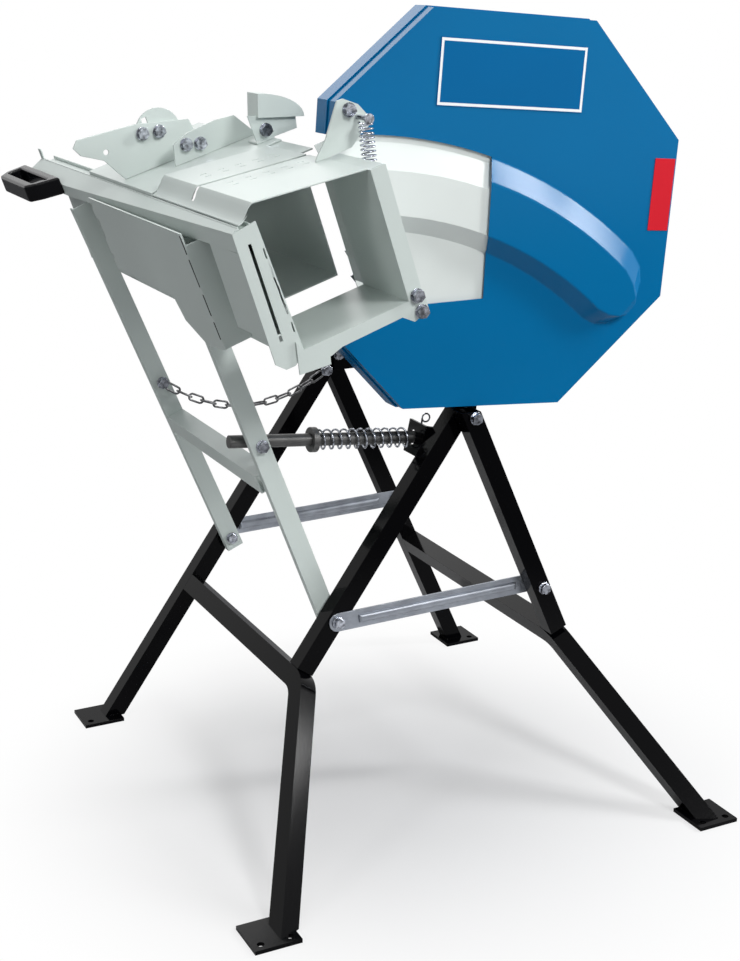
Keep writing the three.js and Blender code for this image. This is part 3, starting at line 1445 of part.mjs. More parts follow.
// Hood beside the roof's right edge, a quarter round shell that stands upright on its bolted plate
function hood() {
  const hoodY = troughFront + hoodPlace;
  const corner = [hoodLeftU, standW + hoodLift];
  const upright = ([a, b]) => [
    corner[0] + a * Math.cos(troughLean) + b * Math.sin(troughLean),
    corner[1] - a * Math.sin(troughLean) + b * Math.cos(troughLean),
  ];
  const quarter = (inset) => {
    const points = [[inset, 0]];
    for (let i = 0; i <= hoodSteps; i += 1) {
      const angle = (Math.PI / 2) * (i / hoodSteps);
      const a = inset + (hoodWidth - 2 * inset) * Math.sin(angle);
      points.push([a, (hoodRise - inset) * Math.cos(angle)]);
    }
    return points.reverse().map(upright);
  };
  const y1 = hoodY + hoodDepth;
  const under = [[sheet, -overrun], [hoodWidth - sheet, -overrun], [hoodWidth - sheet, sheet / 2], [sheet, sheet / 2]];
  let body = plateXZ(quarter(0), hoodY, y1);
  body = cut(body, plateXZ(quarter(sheet), hoodY + sheet, y1 + overrun));
  body = cut(body, plateXZ(under.map(upright), hoodY + sheet, y1 + overrun));
  const left = hoodLeftU - hoodPlateLeft;
  const high = hoodLift + sheet;
  const plate = hoodPlateWidthShares.map((a, i) => [left + a * hoodPlateWidth, standW + hoodPlateHeightShares[i] * high]);
  const back = hoodY + hoodPlateSetback;
  body = join(body, plateXZ(plate, back, back + sheet));
  const foot = left + hoodPlateWidthShares[0] * hoodPlateWidth;
  body = join(body, block(foot, trayRight + wallFlange - sheet, back, y1, standW, standW + sheet));
  const boltU = hoodLeftU + headFlats / 2;
  const boltW = standW + headFlats;
  const washer = barY(boltU, boltW, washerOuter / 2, back - washerThick, back + seat, 16);
  const head = barY(boltU, boltW, headFlats / Math.sqrt(3), back - washerThick - headHeight, back - seat, 6);
  return join(body, washer, head);
}
piece(trough, "hood", hood(), grey);

// Return rod, drawn along X from its pivot bolt towards the guide hole
const rodPivot = new THREE.Vector3(rodPivotX, rodY, rodPivotZ);
rodPivot.applyAxisAngle(new THREE.Vector3(0, 1, 0), -frontLegLean);
rodPivot.add(new THREE.Vector3(pivotX, 0, pivotHeight));
const guideHole = new THREE.Vector3(guideX, rodY, guideZ);
const rodWay = guideHole.clone().sub(rodPivot);
const rodPitch = Math.atan2(rodWay.z, rodWay.x);
const rodFrame = new THREE.Group();
rodFrame.position.copy(rodPivot);
rodFrame.rotation.y = -rodPitch;
saw.add(rodFrame);
const rodLength = rodWay.length();

function returnRod() {
  const body = barX(0, 0, rodRadius, -rodStub, rodLength + guideThick + rodTip, 16);
  const hole = screwHole(0, 0, -tube, tube);
  return cut(body, hole, barZ(rodLength + guideThick + rodTip / 2, clipWire / 2 + holeClear / 2, tube));
}

function barZ(x, radius, high) {
  const bar = new THREE.CylinderGeometry(radius, radius, 2 * high, 10);
  bar.rotateX(Math.PI / 2);
  bar.translate(x, 0, 0);
  return solid(bar);
}
piece(rodFrame, "return_rod", returnRod(), steel);

function rodCollar() {
  const ringBody = barX(0, 0, rodCollarRadius, collarPlace, collarPlace + rodCollarWidth, 24);
  return cut(ringBody, barX(0, 0, rodRadius + seat, collarPlace - overrun, collarPlace + rodCollarWidth + overrun, 16));
}
piece(rodFrame, "rod_collar", rodCollar(), zinc);

const coilStart = collarPlace + rodCollarWidth + coilEndGap;
const coilLength = rodLength - guideThick / 2 - coilEndGap - coilStart - guideThick;
const coilFrame = new THREE.Group();
coilFrame.position.set(coilStart, 0, 0);
rodFrame.add(coilFrame);
piece(coilFrame, "return_spring", coil(coilLength, coilRadius, coilWire, coilCurls), zinc);

// Spring clip through the rod's tip
function clip() {
  const x = rodLength + guideThick + rodTip / 2;
  const shank = new THREE.CylinderGeometry(clipWire / 2, clipWire / 2, clipHeight, 10);
  shank.rotateX(Math.PI / 2);
  shank.translate(x, 0, clipHeight / 4);
  const loop = new THREE.TorusGeometry(clipWidth / 2, clipWire / 2, 6, 14);
  loop.rotateX(Math.PI / 2);
  loop.translate(x + clipWidth / 2, 0, (3 * clipHeight) / 4);
  return join(solid(shank), solid(loop));
}
piece(rodFrame, "rod_clip", clip(), zinc);
const boltBack = rodY + rodRadius + seat;
const rodBolt = screwY(rodPivotX, rodPivotZ, frontLegY - seat, boltBack, [
  [frontLegY + sheet + seat, rodY - rodRadius - seat],
]);
piece(frontLegFrame, "rod_bolt", rodBolt, zinc);

// Guide bracket behind the left front leg, square to the rod at mid swing
function guideBracket() {
  const low = -guideHeight / 2;
  const high = guideHeight / 2;
  const y0 = half + seat;
  const back = guideThick / 2;
  let body = block(-back, back, y0, y0 + guideWidth, low, high);
  body = join(body, block(-back, guideHeight / 2, y0, y0 + guideThick, low, high));
  const slide = barX(rodY, 0, rodRadius + guideHoleClear, -tube, tube, 20);
  return cut(body, slide);
}
const bracketFrame = new THREE.Group();
bracketFrame.position.set(guideX, 0, guideZ);
bracketFrame.rotation.y = -guidePitch;
saw.add(bracketFrame);
piece(bracketFrame, "guide_bracket", guideBracket(), black);

// One long link from a to b, lying flat or on edge
function chainLink(a, b, lap, flat) {
  const bend = (chainLinkWidth - chainWire) / 2;
  const way = b.clone().sub(a).normalize();
  const across = new THREE.Vector3(0, 1, 0);
  const side = flat ? way.clone().cross(across).normalize() : across;
  const normal = way.clone().cross(side);
  const centres = [b.clone().addScaledVector(way, lap - bend), a.clone().addScaledVector(way, bend - lap)];
  const positions = [];
  for (let i = 0; i < 2 * linkSteps; i += 1) {
    const angle = -Math.PI / 2 + (Math.PI * (i % linkSteps)) / (linkSteps - 1);
    const turn = i < linkSteps ? 1 : -1;
    const out = way.clone().multiplyScalar(turn * Math.cos(angle)).addScaledVector(side, turn * Math.sin(angle));
    const centre = centres[i < linkSteps ? 0 : 1].clone().addScaledVector(out, bend);
    for (let k = 0; k < linkSides; k += 1) {
      const round = (2 * Math.PI * k) / linkSides;
      const point = centre.clone().addScaledVector(out, (chainWire / 2) * Math.cos(round));
      point.addScaledVector(normal, (chainWire / 2) * Math.sin(round));
      positions.push(point.x, point.y, point.z);
    }
  }
  const faces = [];
  const total = 2 * linkSteps;
  for (let i = 0; i < total; i += 1) {
    for (let k = 0; k < linkSides; k += 1) {
      const j = (i + 1) % total;
      const n = (k + 1) % linkSides;
      const [p, q, r, t] = [i * linkSides + k, i * linkSides + n, j * linkSides + n, j * linkSides + k];
      faces.push(p, q, r, p, r, t);
    }
  }
  const geometry = new THREE.BufferGeometry();
  geometry.setAttribute("position", new THREE.Float32BufferAttribute(positions, 3));
  geometry.setIndex(faces);
  return solid(signedVolume(geometry) < 0 ? turned(geometry) : geometry);
}

// Limiting chain from the rocker's rear leg to the left rear leg, links fused at their crossings
function chain() {
  const start = new THREE.Vector3(0, rearLegY - chainStandoff, chainLegZ);
  start.applyAxisAngle(new THREE.Vector3(0, 1, 0), -legLean);
  start.add(new THREE.Vector3(pivotX, 0, pivotHeight));
  const end = new THREE.Vector3(chainEndX, rearLeftY - half - chainStandoff, chainEndZ);
  const ringRadius = screw / 2 + 2 * holeClear + chainWire / 2;
  const drop = (t) => start.clone().lerp(end, t).add(new THREE.Vector3(0, 0, -4 * chainSag * t * (1 - t)));
  const fine = 400;
  const marks = [0];
  for (let i = 1; i <= fine; i += 1) {
    marks.push(marks[i - 1] + drop(i / fine).distanceTo(drop((i - 1) / fine)));
  }
  const lap = chainWire * linkLapShare;
  const first = ringRadius + 2 * lap;
  const length = marks[fine] - 2 * first;
  const count = 2 * Math.round(length / (chainLinkLength - 2 * chainWire) / 2) + 1;
  const at = (s) => drop(marks.findIndex((m) => m >= s) / fine);
  const parts = [];
  for (let i = 0; i < count; i += 1) {
    const a = at(first + (i * length) / count);
    const b = at(first + ((i + 1) * length) / count);
    parts.push(chainLink(a, b, lap, i % 2 === 0));
  }
  for (const p of [start, end]) {
    const eye = new THREE.TorusGeometry(ringRadius, chainWire / 2, 5, 14);
    eye.rotateX(Math.PI / 2);
    eye.translate(p.x, p.y, p.z);
    parts.push(solid(eye));
  }
  return parts.reduce((whole, part) => whole.add(part));
}
piece(saw, "limit_chain", chain(), zinc);
const chainBolt = screwY(0, chainLegZ, rearLegY - chainStandoff - chainWire / 2 - 2 * seat, rearLegY + sheet + seat);
piece(legFrame, "chain_bolt", chainBolt, zinc);

// The part stands on the floor with the middle of its bounding box at X = Y = 0
saw.updateMatrixWorld(true);
const bounds = new THREE.Box3().setFromObject(saw, true);
const middle = bounds.getCenter(new THREE.Vector3());
for (const child of saw.children) {
  child.position.x -= middle.x;
  child.position.y -= middle.y;
}

// Joint places and ratios, for the record
const toPart = (v) => [v.x - middle.x, v.y - middle.y, v.z].map((n) => Number(n.toFixed(3)));
const swung = rodPivot.clone().sub(new THREE.Vector3(pivotX, 0, pivotHeight));
swung.applyAxisAngle(new THREE.Vector3(0, 1, 0), swingRange).add(new THREE.Vector3(pivotX, 0, pivotHeight));
const farWay = guideHole.clone().sub(swung);
const farPitch = Math.atan2(farWay.z, farWay.x);
const hinge = new THREE.Vector3(roofLeft + roofThick / 2, 0, roofLowW + roofThick / 2);
hinge.applyAxisAngle(new THREE.Vector3(0, 1, 0), -troughLean).add(new THREE.Vector3(pivotX, 0, pivotHeight));
console.log("shift", middle.x, middle.y, "size", bounds.getSize(new THREE.Vector3()));
console.log("rocker pivot", toPart(new THREE.Vector3(pivotX, 0, pivotHeight)));
console.log("blade axis", toPart(new THREE.Vector3(guardX, 0, guardZ)));
console.log("rod pivot", toPart(rodPivot), "ratio", (rodPitch - farPitch - swingRange) / swingRange);
console.log("rod slides", rodLength - farWay.length(), "roof hinge", toPart(hinge), "range", roofRange);

export default saw;
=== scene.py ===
import json
import math

import bpy
from mathutils import Matrix, Vector


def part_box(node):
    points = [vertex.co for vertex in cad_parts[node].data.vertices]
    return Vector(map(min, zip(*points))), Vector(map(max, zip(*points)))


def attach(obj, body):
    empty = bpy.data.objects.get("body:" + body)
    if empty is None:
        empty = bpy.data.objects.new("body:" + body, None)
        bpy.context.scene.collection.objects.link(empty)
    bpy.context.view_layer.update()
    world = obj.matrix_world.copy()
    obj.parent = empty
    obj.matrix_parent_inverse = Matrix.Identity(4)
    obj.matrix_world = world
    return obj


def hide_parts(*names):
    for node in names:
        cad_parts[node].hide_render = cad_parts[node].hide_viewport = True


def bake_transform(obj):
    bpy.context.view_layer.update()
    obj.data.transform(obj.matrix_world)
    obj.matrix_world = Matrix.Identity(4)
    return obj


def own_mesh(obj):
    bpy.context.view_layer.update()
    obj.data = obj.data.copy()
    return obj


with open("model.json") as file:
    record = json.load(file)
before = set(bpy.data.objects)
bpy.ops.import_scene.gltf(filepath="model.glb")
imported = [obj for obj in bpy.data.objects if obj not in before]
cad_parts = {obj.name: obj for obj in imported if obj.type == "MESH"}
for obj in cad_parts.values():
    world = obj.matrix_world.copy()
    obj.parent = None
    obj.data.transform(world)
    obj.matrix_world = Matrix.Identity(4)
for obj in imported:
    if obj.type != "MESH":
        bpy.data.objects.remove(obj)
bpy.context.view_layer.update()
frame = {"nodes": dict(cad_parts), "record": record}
nodes = frame["nodes"]
record = frame["record"]

# Camera: a long lens about a metre above the floor, looking down a little on the trough's open front.
# The picture is 740 by 961, so the sensor's 36 mm is the tall side.
camera_place = (-0.9375, -1.9030, 1.0500)
camera_tilt = 72.6
camera_heading = -26.5
camera_data = bpy.data.cameras.new("camera")
camera_data.lens = 60.84
camera_data.sensor_width = 36.0
camera_data.clip_end = 60.0
camera = bpy.data.objects.new("camera", camera_data)
camera.location = camera_place
camera.rotation_euler = (math.radians(camera_tilt), 0.0, math.radians(camera_heading))
bpy.context.collection.objects.link(camera)
bpy.context.scene.camera = camera
bpy.context.scene.view_settings.view_transform = "Standard"

# Studio floor: pale paper that takes the soft shadow and fades to white for the camera.
# Past the fade the paper's own colour is dark, which keeps the low sides of the tubes dark.
floor_size = 9.0
floor_drop = 0.0004
floor_white = (0.59, 0.59, 0.595, 1.0)
floor_dark = (0.16, 0.16, 0.165, 1.0)
white_until = 0.62
dark_from = 0.95
paper_reach = 4.0
shadow_shift = (0.01, 0.15, 0.0)
fade_start = 0.05
fade_end = 0.60
bpy.ops.object.select_all(action="DESELECT")
bpy.ops.mesh.primitive_plane_add(size=floor_size, location=(0.0, 0.0, -floor_drop))
floor = bpy.context.object
floor.name = "floor"
floor_paper = bpy.data.materials.new("floor_paper")
floor_paper.use_nodes = True
tree = floor_paper.node_tree
surface = tree.nodes["Principled BSDF"]
surface.inputs["Roughness"].default_value = 0.9
surface.inputs["Specular IOR Level"].default_value = 0.1
coordinate = tree.nodes.new("ShaderNodeTexCoord")
middle = tree.nodes.new("ShaderNodeMapping")
middle.inputs["Location"].default_value = shadow_shift
length = tree.nodes.new("ShaderNodeVectorMath")
length.operation = "LENGTH"
fade = tree.nodes.new("ShaderNodeMapRange")
fade.inputs["From Min"].default_value = fade_start
fade.inputs["From Max"].default_value = fade_end
fade.interpolation_type = "SMOOTHSTEP"
paper_tone = tree.nodes.new("ShaderNodeValToRGB")
paper_tone.color_ramp.elements[0].position = white_until / paper_reach
paper_tone.color_ramp.elements[0].color = floor_white
paper_tone.color_ramp.elements[1].position = dark_from / paper_reach
paper_tone.color_ramp.elements[1].color = floor_dark
reach = tree.nodes.new("ShaderNodeMapRange")
reach.inputs["From Max"].default_value = paper_reach
path = tree.nodes.new("ShaderNodeLightPath")
seen = tree.nodes.new("ShaderNodeMath")
seen.operation = "MULTIPLY"
white = tree.nodes.new("ShaderNodeEmission")
mix = tree.nodes.new("ShaderNodeMixShader")
tree.links.new(coordinate.outputs["Object"], middle.inputs["Vector"])
tree.links.new(middle.outputs["Vector"], length.inputs[0])
tree.links.new(length.outputs["Value"], fade.inputs["Value"])
tree.links.new(fade.outputs["Result"], seen.inputs[0])
tree.links.new(length.outputs["Value"], reach.inputs["Value"])
tree.links.new(reach.outputs["Result"], paper_tone.inputs["Fac"])
tree.links.new(paper_tone.outputs["Color"], surface.inputs["Base Color"])
tree.links.new(path.outputs["Is Camera Ray"], seen.inputs[1])
tree.links.new(seen.outputs["Value"], mix.inputs["Fac"])
tree.links.new(surface.outputs["BSDF"], mix.inputs[1])
tree.links.new(white.outputs["Emission"], mix.inputs[2])
tree.links.new(mix.outputs["Shader"], tree.nodes["Material Output"].inputs["Surface"])
floor.data.materials.append(floor_paper)

# Surround: white where the camera, a reflection or clear glass sees it, and a softer light, weaker
# from the left, for everything else.
left_end, right_end = -0.9, 0.7
left_light, right_light = 0.38, 0.5
ambient_tint = (0.96, 0.98, 1.0, 1.0)
world = bpy.data.worlds.new("studio")
bpy.context.scene.world = world
world.use_nodes = True
tree = world.node_tree
ambient = tree.nodes["Background"]
ambient.inputs["Color"].default_value = ambient_tint
side = tree.nodes.new("ShaderNodeTexCoord")
split = tree.nodes.new("ShaderNodeSeparateXYZ")
level = tree.nodes.new("ShaderNodeMapRange")
level.inputs["From Min"].default_value = left_end
level.inputs["From Max"].default_value = right_end
level.inputs["To Min"].default_value = left_light
level.inputs["To Max"].default_value = right_light
tree.links.new(side.outputs["Generated"], split.inputs["Vector"])
tree.links.new(split.outputs["X"], level.inputs["Value"])
tree.links.new(level.outputs["Result"], ambient.inputs["Strength"])
backdrop = tree.nodes.new("ShaderNodeBackground")
backdrop.inputs["Color"].default_value = (1.0, 1.0, 1.0, 1.0)
backdrop.inputs["Strength"].default_value = 1.0
path = tree.nodes.new("ShaderNodeLightPath")
camera_or_glass = tree.nodes.new("ShaderNodeMath")
camera_or_glass.operation = "MAXIMUM"
any_sight = tree.nodes.new("ShaderNodeMath")
any_sight.operation = "MAXIMUM"
mix = tree.nodes.new("ShaderNodeMixShader")
tree.links.new(path.outputs["Is Camera Ray"], camera_or_glass.inputs[0])
tree.links.new(path.outputs["Is Transmission Ray"], camera_or_glass.inputs[1])
tree.links.new(camera_or_glass.outputs["Value"], any_sight.inputs[0])
tree.links.new(path.outputs["Is Glossy Ray"], any_sight.inputs[1])
tree.links.new(any_sight.outputs["Value"], mix.inputs["Fac"])
tree.links.new(ambient.outputs["Background"], mix.inputs[1])
tree.links.new(backdrop.outputs["Background"], mix.inputs[2])
tree.links.new(mix.outputs["Shader"], tree.nodes["World Output"].inputs["Surface"])

# Lamps: a key lamp high in front, and two on the right that show in the gloss of the guard's channel.
# The left one is weak, so left sides stay dark. Each row has a place, a width and height, and watts.
lamp_target = Vector((0.0, 0.0, 0.6))
lamps = [
    ("key_lamp", (0.6, -3.2, 3.1), (0.9, 0.9), 84.0),
    ("right_lamp", (2.95, -1.15, 2.45), (0.36, 1.5), 66.0),
    ("edge_lamp", (2.95, -0.93, 1.70), (0.6, 0.75), 32.0),
    ("left_lamp", (-3.4, -1.2, 1.6), (0.6, 0.6), 15.0),
    ("back_lamp", (0.4, 3.2, 2.8), (1.6, 1.6), 14.0),
    ("top_lamp", (-0.3, 0.1, 3.6), (1.3, 1.3), 23.0),
]
for lamp_name, place, lamp_size, watts in lamps:
    lamp_data = bpy.data.lights.new(lamp_name, "AREA")
    lamp_data.shape = "RECTANGLE"
    lamp_data.size, lamp_data.size_y = lamp_size
    lamp_data.energy = watts
    lamp = bpy.data.objects.new(lamp_name, lamp_data)
    lamp.location = place
    aim = lamp_target - Vector(place)
    lamp.rotation_euler = aim.to_track_quat("-Z", "Y").to_euler()
    bpy.context.collection.objects.link(lamp)

# Stand tubes: welded square steel tube, 25 mm with a 2 mm wall and rounded corners, in gloss black
# powder coat. Two tubes run forward from the rear legs and bend down to the front feet, and the
# front legs stand on them.
merge_distance = 0.000004
flat_turn = math.radians(0.6)
flat_weight = 90
tone_from, tone_to = 0.3, 0.7
gloss_from, gloss_to = 0.82, 1.18
peel_depth = 0.001
tube_corner = 0.0034


def only(piece):
    bpy.ops.object.select_all(action="DESELECT")
    piece.select_set(True)
    bpy.context.view_layer.objects.active = piece


def merged_copy(name, flats_joined=True):
    piece = nodes[name].copy()
    piece.data = nodes[name].data.copy()
    piece.name = name + "_finished"
    piece.data.name = piece.name
    bpy.context.collection.objects.link(piece)
    only(piece)
    bpy.ops.object.mode_set(mode="EDIT")
    bpy.ops.mesh.select_all(action="SELECT")
    bpy.ops.mesh.remove_doubles(threshold=merge_distance)
    if flats_joined:
        bpy.ops.mesh.dissolve_limited(angle_limit=flat_turn)
    bpy.ops.object.mode_set(mode="OBJECT")
    return piece


def rounded(piece, radius, steps=2, angle=28.0, smooth=34.0):
    """Breaks the edges as a press or a mould does, and keeps the flats flat."""
    only(piece)
    bevel = piece.modifiers.new("edges", "BEVEL")
    bevel.width = radius
    bevel.segments = steps
    bevel.limit_method = "ANGLE"
    bevel.angle_limit = math.radians(angle)
    bevel.miter_outer = "MITER_ARC"
    bpy.ops.object.modifier_apply(modifier=bevel.name)
    bpy.ops.object.shade_smooth_by_angle(angle=math.radians(smooth))
    flats = piece.modifiers.new("flats", "WEIGHTED_NORMAL")
    flats.keep_sharp = True
    flats.weight = flat_weight
    bpy.ops.object.modifier_apply(modifier=flats.name)


def body_of_node(name):
    return next(body for body, members in record["behaviour"]["bodies"].items() if name in members)


def stands_for(piece, name, *finishes, bends=False):
    piece.data.materials.clear()
    for finish in finishes:
        piece.data.materials.append(finish)
    if not bends:
        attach(piece, body_of_node(name))
    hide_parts(name)


def shade(colour, factor):
    return (*[min(1.0, part * factor) for part in colour], 1.0)


def paint(name, colour, rough, gloss_level=0.5, peel=0.02, peel_scale=260.0, drift=0.05,
          drift_scale=7.0):
    """Sprayed or moulded finish: the colour drifts a little and the skin has a fine peel."""
    finish = bpy.data.materials.new(name)
    finish.use_nodes = True
    tree = finish.node_tree
    shader = tree.nodes["Principled BSDF"]
    shader.inputs["Specular IOR Level"].default_value = gloss_level
    place = tree.nodes.new("ShaderNodeTexCoord")
    cloud = tree.nodes.new("ShaderNodeTexNoise")
    cloud.inputs["Scale"].default_value = drift_scale
    cloud.inputs["Detail"].default_value = 3.0
    tone = tree.nodes.new("ShaderNodeValToRGB")
    tone.color_ramp.elements[0].position = tone_from
    tone.color_ramp.elements[0].color = shade(colour, 1.0 - drift)
    tone.color_ramp.elements[1].position = tone_to
    tone.color_ramp.elements[1].color = shade(colour, 1.0 + drift)
    gloss = tree.nodes.new("ShaderNodeMapRange")
    gloss.inputs["To Min"].default_value = rough * gloss_from
    gloss.inputs["To Max"].default_value = rough * gloss_to
    skin = tree.nodes.new("ShaderNodeTexNoise")
    skin.inputs["Scale"].default_value = peel_scale
    skin.inputs["Detail"].default_value = 2.0
    bump = tree.nodes.new("ShaderNodeBump")
    bump.inputs["Strength"].default_value = peel
    bump.inputs["Distance"].default_value = peel_depth
    tree.links.new(place.outputs["Object"], cloud.inputs["Vector"])
    tree.links.new(place.outputs["Object"], skin.inputs["Vector"])
    tree.links.new(cloud.outputs["Fac"], tone.inputs["Fac"])
    tree.links.new(cloud.outputs["Fac"], gloss.inputs["Value"])
    tree.links.new(tone.outputs["Color"], shader.inputs["Base Color"])
    tree.links.new(gloss.outputs["Result"], shader.inputs["Roughness"])
    tree.links.new(skin.outputs["Fac"], bump.inputs["Height"])
    tree.links.new(bump.outputs["Normal"], shader.inputs["Normal"])
    return finish


black_coat = paint("black_powder_coat", (0.0008, 0.0008, 0.0012), 0.1, gloss_level=0.075, peel=0.03,
                   peel_scale=420.0)
for tube_name in ["left_front_leg", "right_front_leg", "left_rear_leg", "right_rear_leg",
                  "left_bent_tube", "right_bent_tube"]:
    tube = merged_copy(tube_name)
    rounded(tube, tube_corner, steps=4, angle=40.0, smooth=40.0)
    stands_for(tube, tube_name, black_coat)

# Braces: steel strip, zinc plated, with rounded ends and one long pressed bead. Each end of the
# stand has one, held by the rocker's pivot screw and by a screw in the right tube.
patch_from, patch_to = 0.3, 0.72
patch_darker, patch_lighter = 0.35, 0.25
mark_gloss_from, mark_gloss_to = 0.7, 1.35
roll_mark_scale = 14.0
roll_mark_depth = 0.0006
roll_mark_strength = 0.06
faces_front = 0.2
bead_rise = 0.0004
bead_roll = 0.0045
brace_edge = 0.0008


def plated(name, colour, rough, grain=(1.0, 60.0, 60.0), mottled=0.5, metal=0.92,
           patch_scale=45.0):
    """Zinc plate: metal whose gloss and tone change in small patches, with faint rolling marks."""
    finish = bpy.data.materials.new(name)
    finish.use_nodes = True
    tree = finish.node_tree
    shader = tree.nodes["Principled BSDF"]
    shader.inputs["Metallic"].default_value = metal
    place = tree.nodes.new("ShaderNodeTexCoord")
    along = tree.nodes.new("ShaderNodeMapping")
    along.inputs["Scale"].default_value = grain
    marks = tree.nodes.new("ShaderNodeTexNoise")
    marks.inputs["Scale"].default_value = roll_mark_scale
    marks.inputs["Detail"].default_value = 6.0
    patch = tree.nodes.new("ShaderNodeTexNoise")
    patch.inputs["Scale"].default_value = patch_scale
    patch.inputs["Detail"].default_value = 3.0
    tone = tree.nodes.new("ShaderNodeValToRGB")
    tone.color_ramp.elements[0].position = patch_from
    tone.color_ramp.elements[0].color = shade(colour, 1.0 - patch_darker * mottled)
    tone.color_ramp.elements[1].position = patch_to
    tone.color_ramp.elements[1].color = shade(colour, 1.0 + patch_lighter * mottled)
    gloss = tree.nodes.new("ShaderNodeMapRange")
    gloss.inputs["To Min"].default_value = rough * mark_gloss_from
    gloss.inputs["To Max"].default_value = rough * mark_gloss_to
    bump = tree.nodes.new("ShaderNodeBump")
    bump.inputs["Strength"].default_value = roll_mark_strength
    bump.inputs["Distance"].default_value = roll_mark_depth
    tree.links.new(place.outputs["Object"], along.inputs["Vector"])
    tree.links.new(along.outputs["Vector"], marks.inputs["Vector"])
    tree.links.new(place.outputs["Object"], patch.inputs["Vector"])
    tree.links.new(patch.outputs["Fac"], tone.inputs["Fac"])
    tree.links.new(marks.outputs["Fac"], gloss.inputs["Value"])
    tree.links.new(tone.outputs["Color"], shader.inputs["Base Color"])
    tree.links.new(gloss.outputs["Result"], shader.inputs["Roughness"])
    tree.links.new(marks.outputs["Fac"], bump.inputs["Height"])
    tree.links.new(bump.outputs["Normal"], shader.inputs["Normal"])
    return finish


def press_softly(piece, beyond_y, radius, steps=4, least_turn=14.0, sides_too=False):
    """Rolls the sharp bends of a pressed bead or channel that stands in front of a flat face."""
    bpy.ops.object.mode_set(mode="EDIT")
    bpy.ops.mesh.select_mode(type="EDGE")
    bpy.ops.mesh.select_all(action="DESELECT")
    bpy.ops.object.mode_set(mode="OBJECT")
    faces_of = {}
    for face in piece.data.polygons:
        for key in face.edge_keys:
            faces_of.setdefault(key, []).append(face.normal.copy())
    for edge in piece.data.edges:
        normals = faces_of.get(tuple(sorted(edge.vertices)), [])
        in_front = all(piece.data.vertices[v].co.y < beyond_y for v in edge.vertices)
        if in_front and len(normals) == 2:
            facing = sorted(normal.y for normal in normals)
            outward = facing[0] < 0.0 if sides_too else facing[1] < -faces_front
            edge.select = outward and normals[0].angle(normals[1]) > math.radians(least_turn)
    bpy.ops.object.mode_set(mode="EDIT")
    bpy.ops.mesh.bevel(offset=radius, segments=steps, affect="EDGES", clamp_overlap=True)
    bpy.ops.mesh.select_mode(type="VERT")
    bpy.ops.object.mode_set(mode="OBJECT")


brace_zinc = plated("brace_zinc", (0.36, 0.385, 0.43), 0.3)
for brace_name in ["front_brace", "rear_brace"]:
    brace = merged_copy(brace_name)
    press_softly(brace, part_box(brace_name)[0].y + bead_rise, bead_roll, steps=6, least_turn=40.0,
                 sides_too=True)
    rounded(brace, brace_edge)
    stands_for(brace, brace_name, brace_zinc)

# Screws: zinc plated hexagon screws, each with its washers and nut, that hold the stand, the rocker
# and its small parts together. The plating has the blue cast of fresh zinc.
screw_edge = 0.0005
screw_zinc = plated("screw_zinc", (0.44, 0.46, 0.51), 0.22, grain=(1.0, 1.0, 1.0), mottled=2.3, metal=1.0,
                    patch_scale=210.0)
for node_name in nodes:
    if "bolt" in node_name:
        screw = merged_copy(node_name)
        rounded(screw, screw_edge)
        stands_for(screw, node_name, screw_zinc)

# Motor stand and the rod's guide bracket: folded steel plate in the stand's black coat. The motor
# stand is held by the two screws at the tops of the tubes, the bracket sits behind the left front leg.
plate_edge = 0.0009
for plate_name in ["motor_stand", "guide_bracket"]:
    plate = merged_copy(plate_name)
    rounded(plate, plate_edge)
    stands_for(plate, plate_name, black_coat)

# Motor, fan cover, switch box and buttons behind the guard: a painted housing, moulded black
# covers, and a green and a red button. Each row has a node, its finish and its edge radius.
blue_coat = paint("guard_blue_coat", (0.0, 0.126, 0.308), 0.17, gloss_level=0.13, peel=0.012,
                  drift_scale=2.5)
black_plastic = paint("black_plastic", (0.008, 0.008, 0.009), 0.4, gloss_level=0.35, peel=0.12,
                      peel_scale=900.0, drift=0.15)
green_plastic = paint("green_plastic", (0.01, 0.2, 0.04), 0.3)
red_plastic = paint("red_plastic", (0.5, 0.01, 0.012), 0.3)
for node_name, finish, radius in [
    ("motor_housing", blue_coat, 0.002),
    ("motor_fan_cover", black_plastic, 0.002),
    ("switch_box", black_plastic, 0.003),
    ("start_button", green_plastic, 0.0015),
    ("stop_button", red_plastic, 0.0015),
]:
    piece = merged_copy(node_name)
    rounded(piece, radius, steps=3)
    stands_for(piece, node_name, finish)

# Guard covers: two pressed steel halves that lap at the rim, in gloss blue. The front one has
# the raised channel in which the trough's own guard runs, with softly rolled bends.
channel_from_y = -0.179
channel_roll = 0.006
cover_edge = 0.0006
for cover_name in ["guard_front_cover", "guard_rear_cover"]:
    cover = merged_copy(cover_name)
    if cover_name == "guard_front_cover":
        press_softly(cover, channel_from_y, channel_roll)
    rounded(cover, cover_edge, angle=24.0, smooth=30.0)
    stands_for(cover, cover_name, blue_coat)

# Plates on the guard's front: a blue field in a thin white line, and a small red plate near the
# right edge, which is widened here towards the middle. Both are printed film, glued on, and lie a
# little turned, as the guard does.
guard_tilt = math.radians(4.5)
along_plate = Vector((math.cos(guard_tilt), 0.0, -math.sin(guard_tilt)))
up_plate = Vector((math.sin(guard_tilt), 0.0, math.cos(guard_tilt)))
panel_half_width = 0.103
panel_half_height = 0.0395
line_inset = 0.0008
line_width = 0.0033
straight_ahead = 0.9
label_reach = 0.0075
label_edge = 0.0002
film_blue = paint("film_blue", (0.0, 0.110, 0.290), 0.26, gloss_level=0.1, drift=0.03)
film_white = paint("film_white", (0.8, 0.82, 0.83), 0.35, gloss_level=0.3, drift=0.02)
film_red = paint("film_red", (0.58, 0.010, 0.022), 0.32, gloss_level=0.2, drift=0.03)
panel = merged_copy("guard_panel")
bpy.ops.object.mode_set(mode="EDIT")
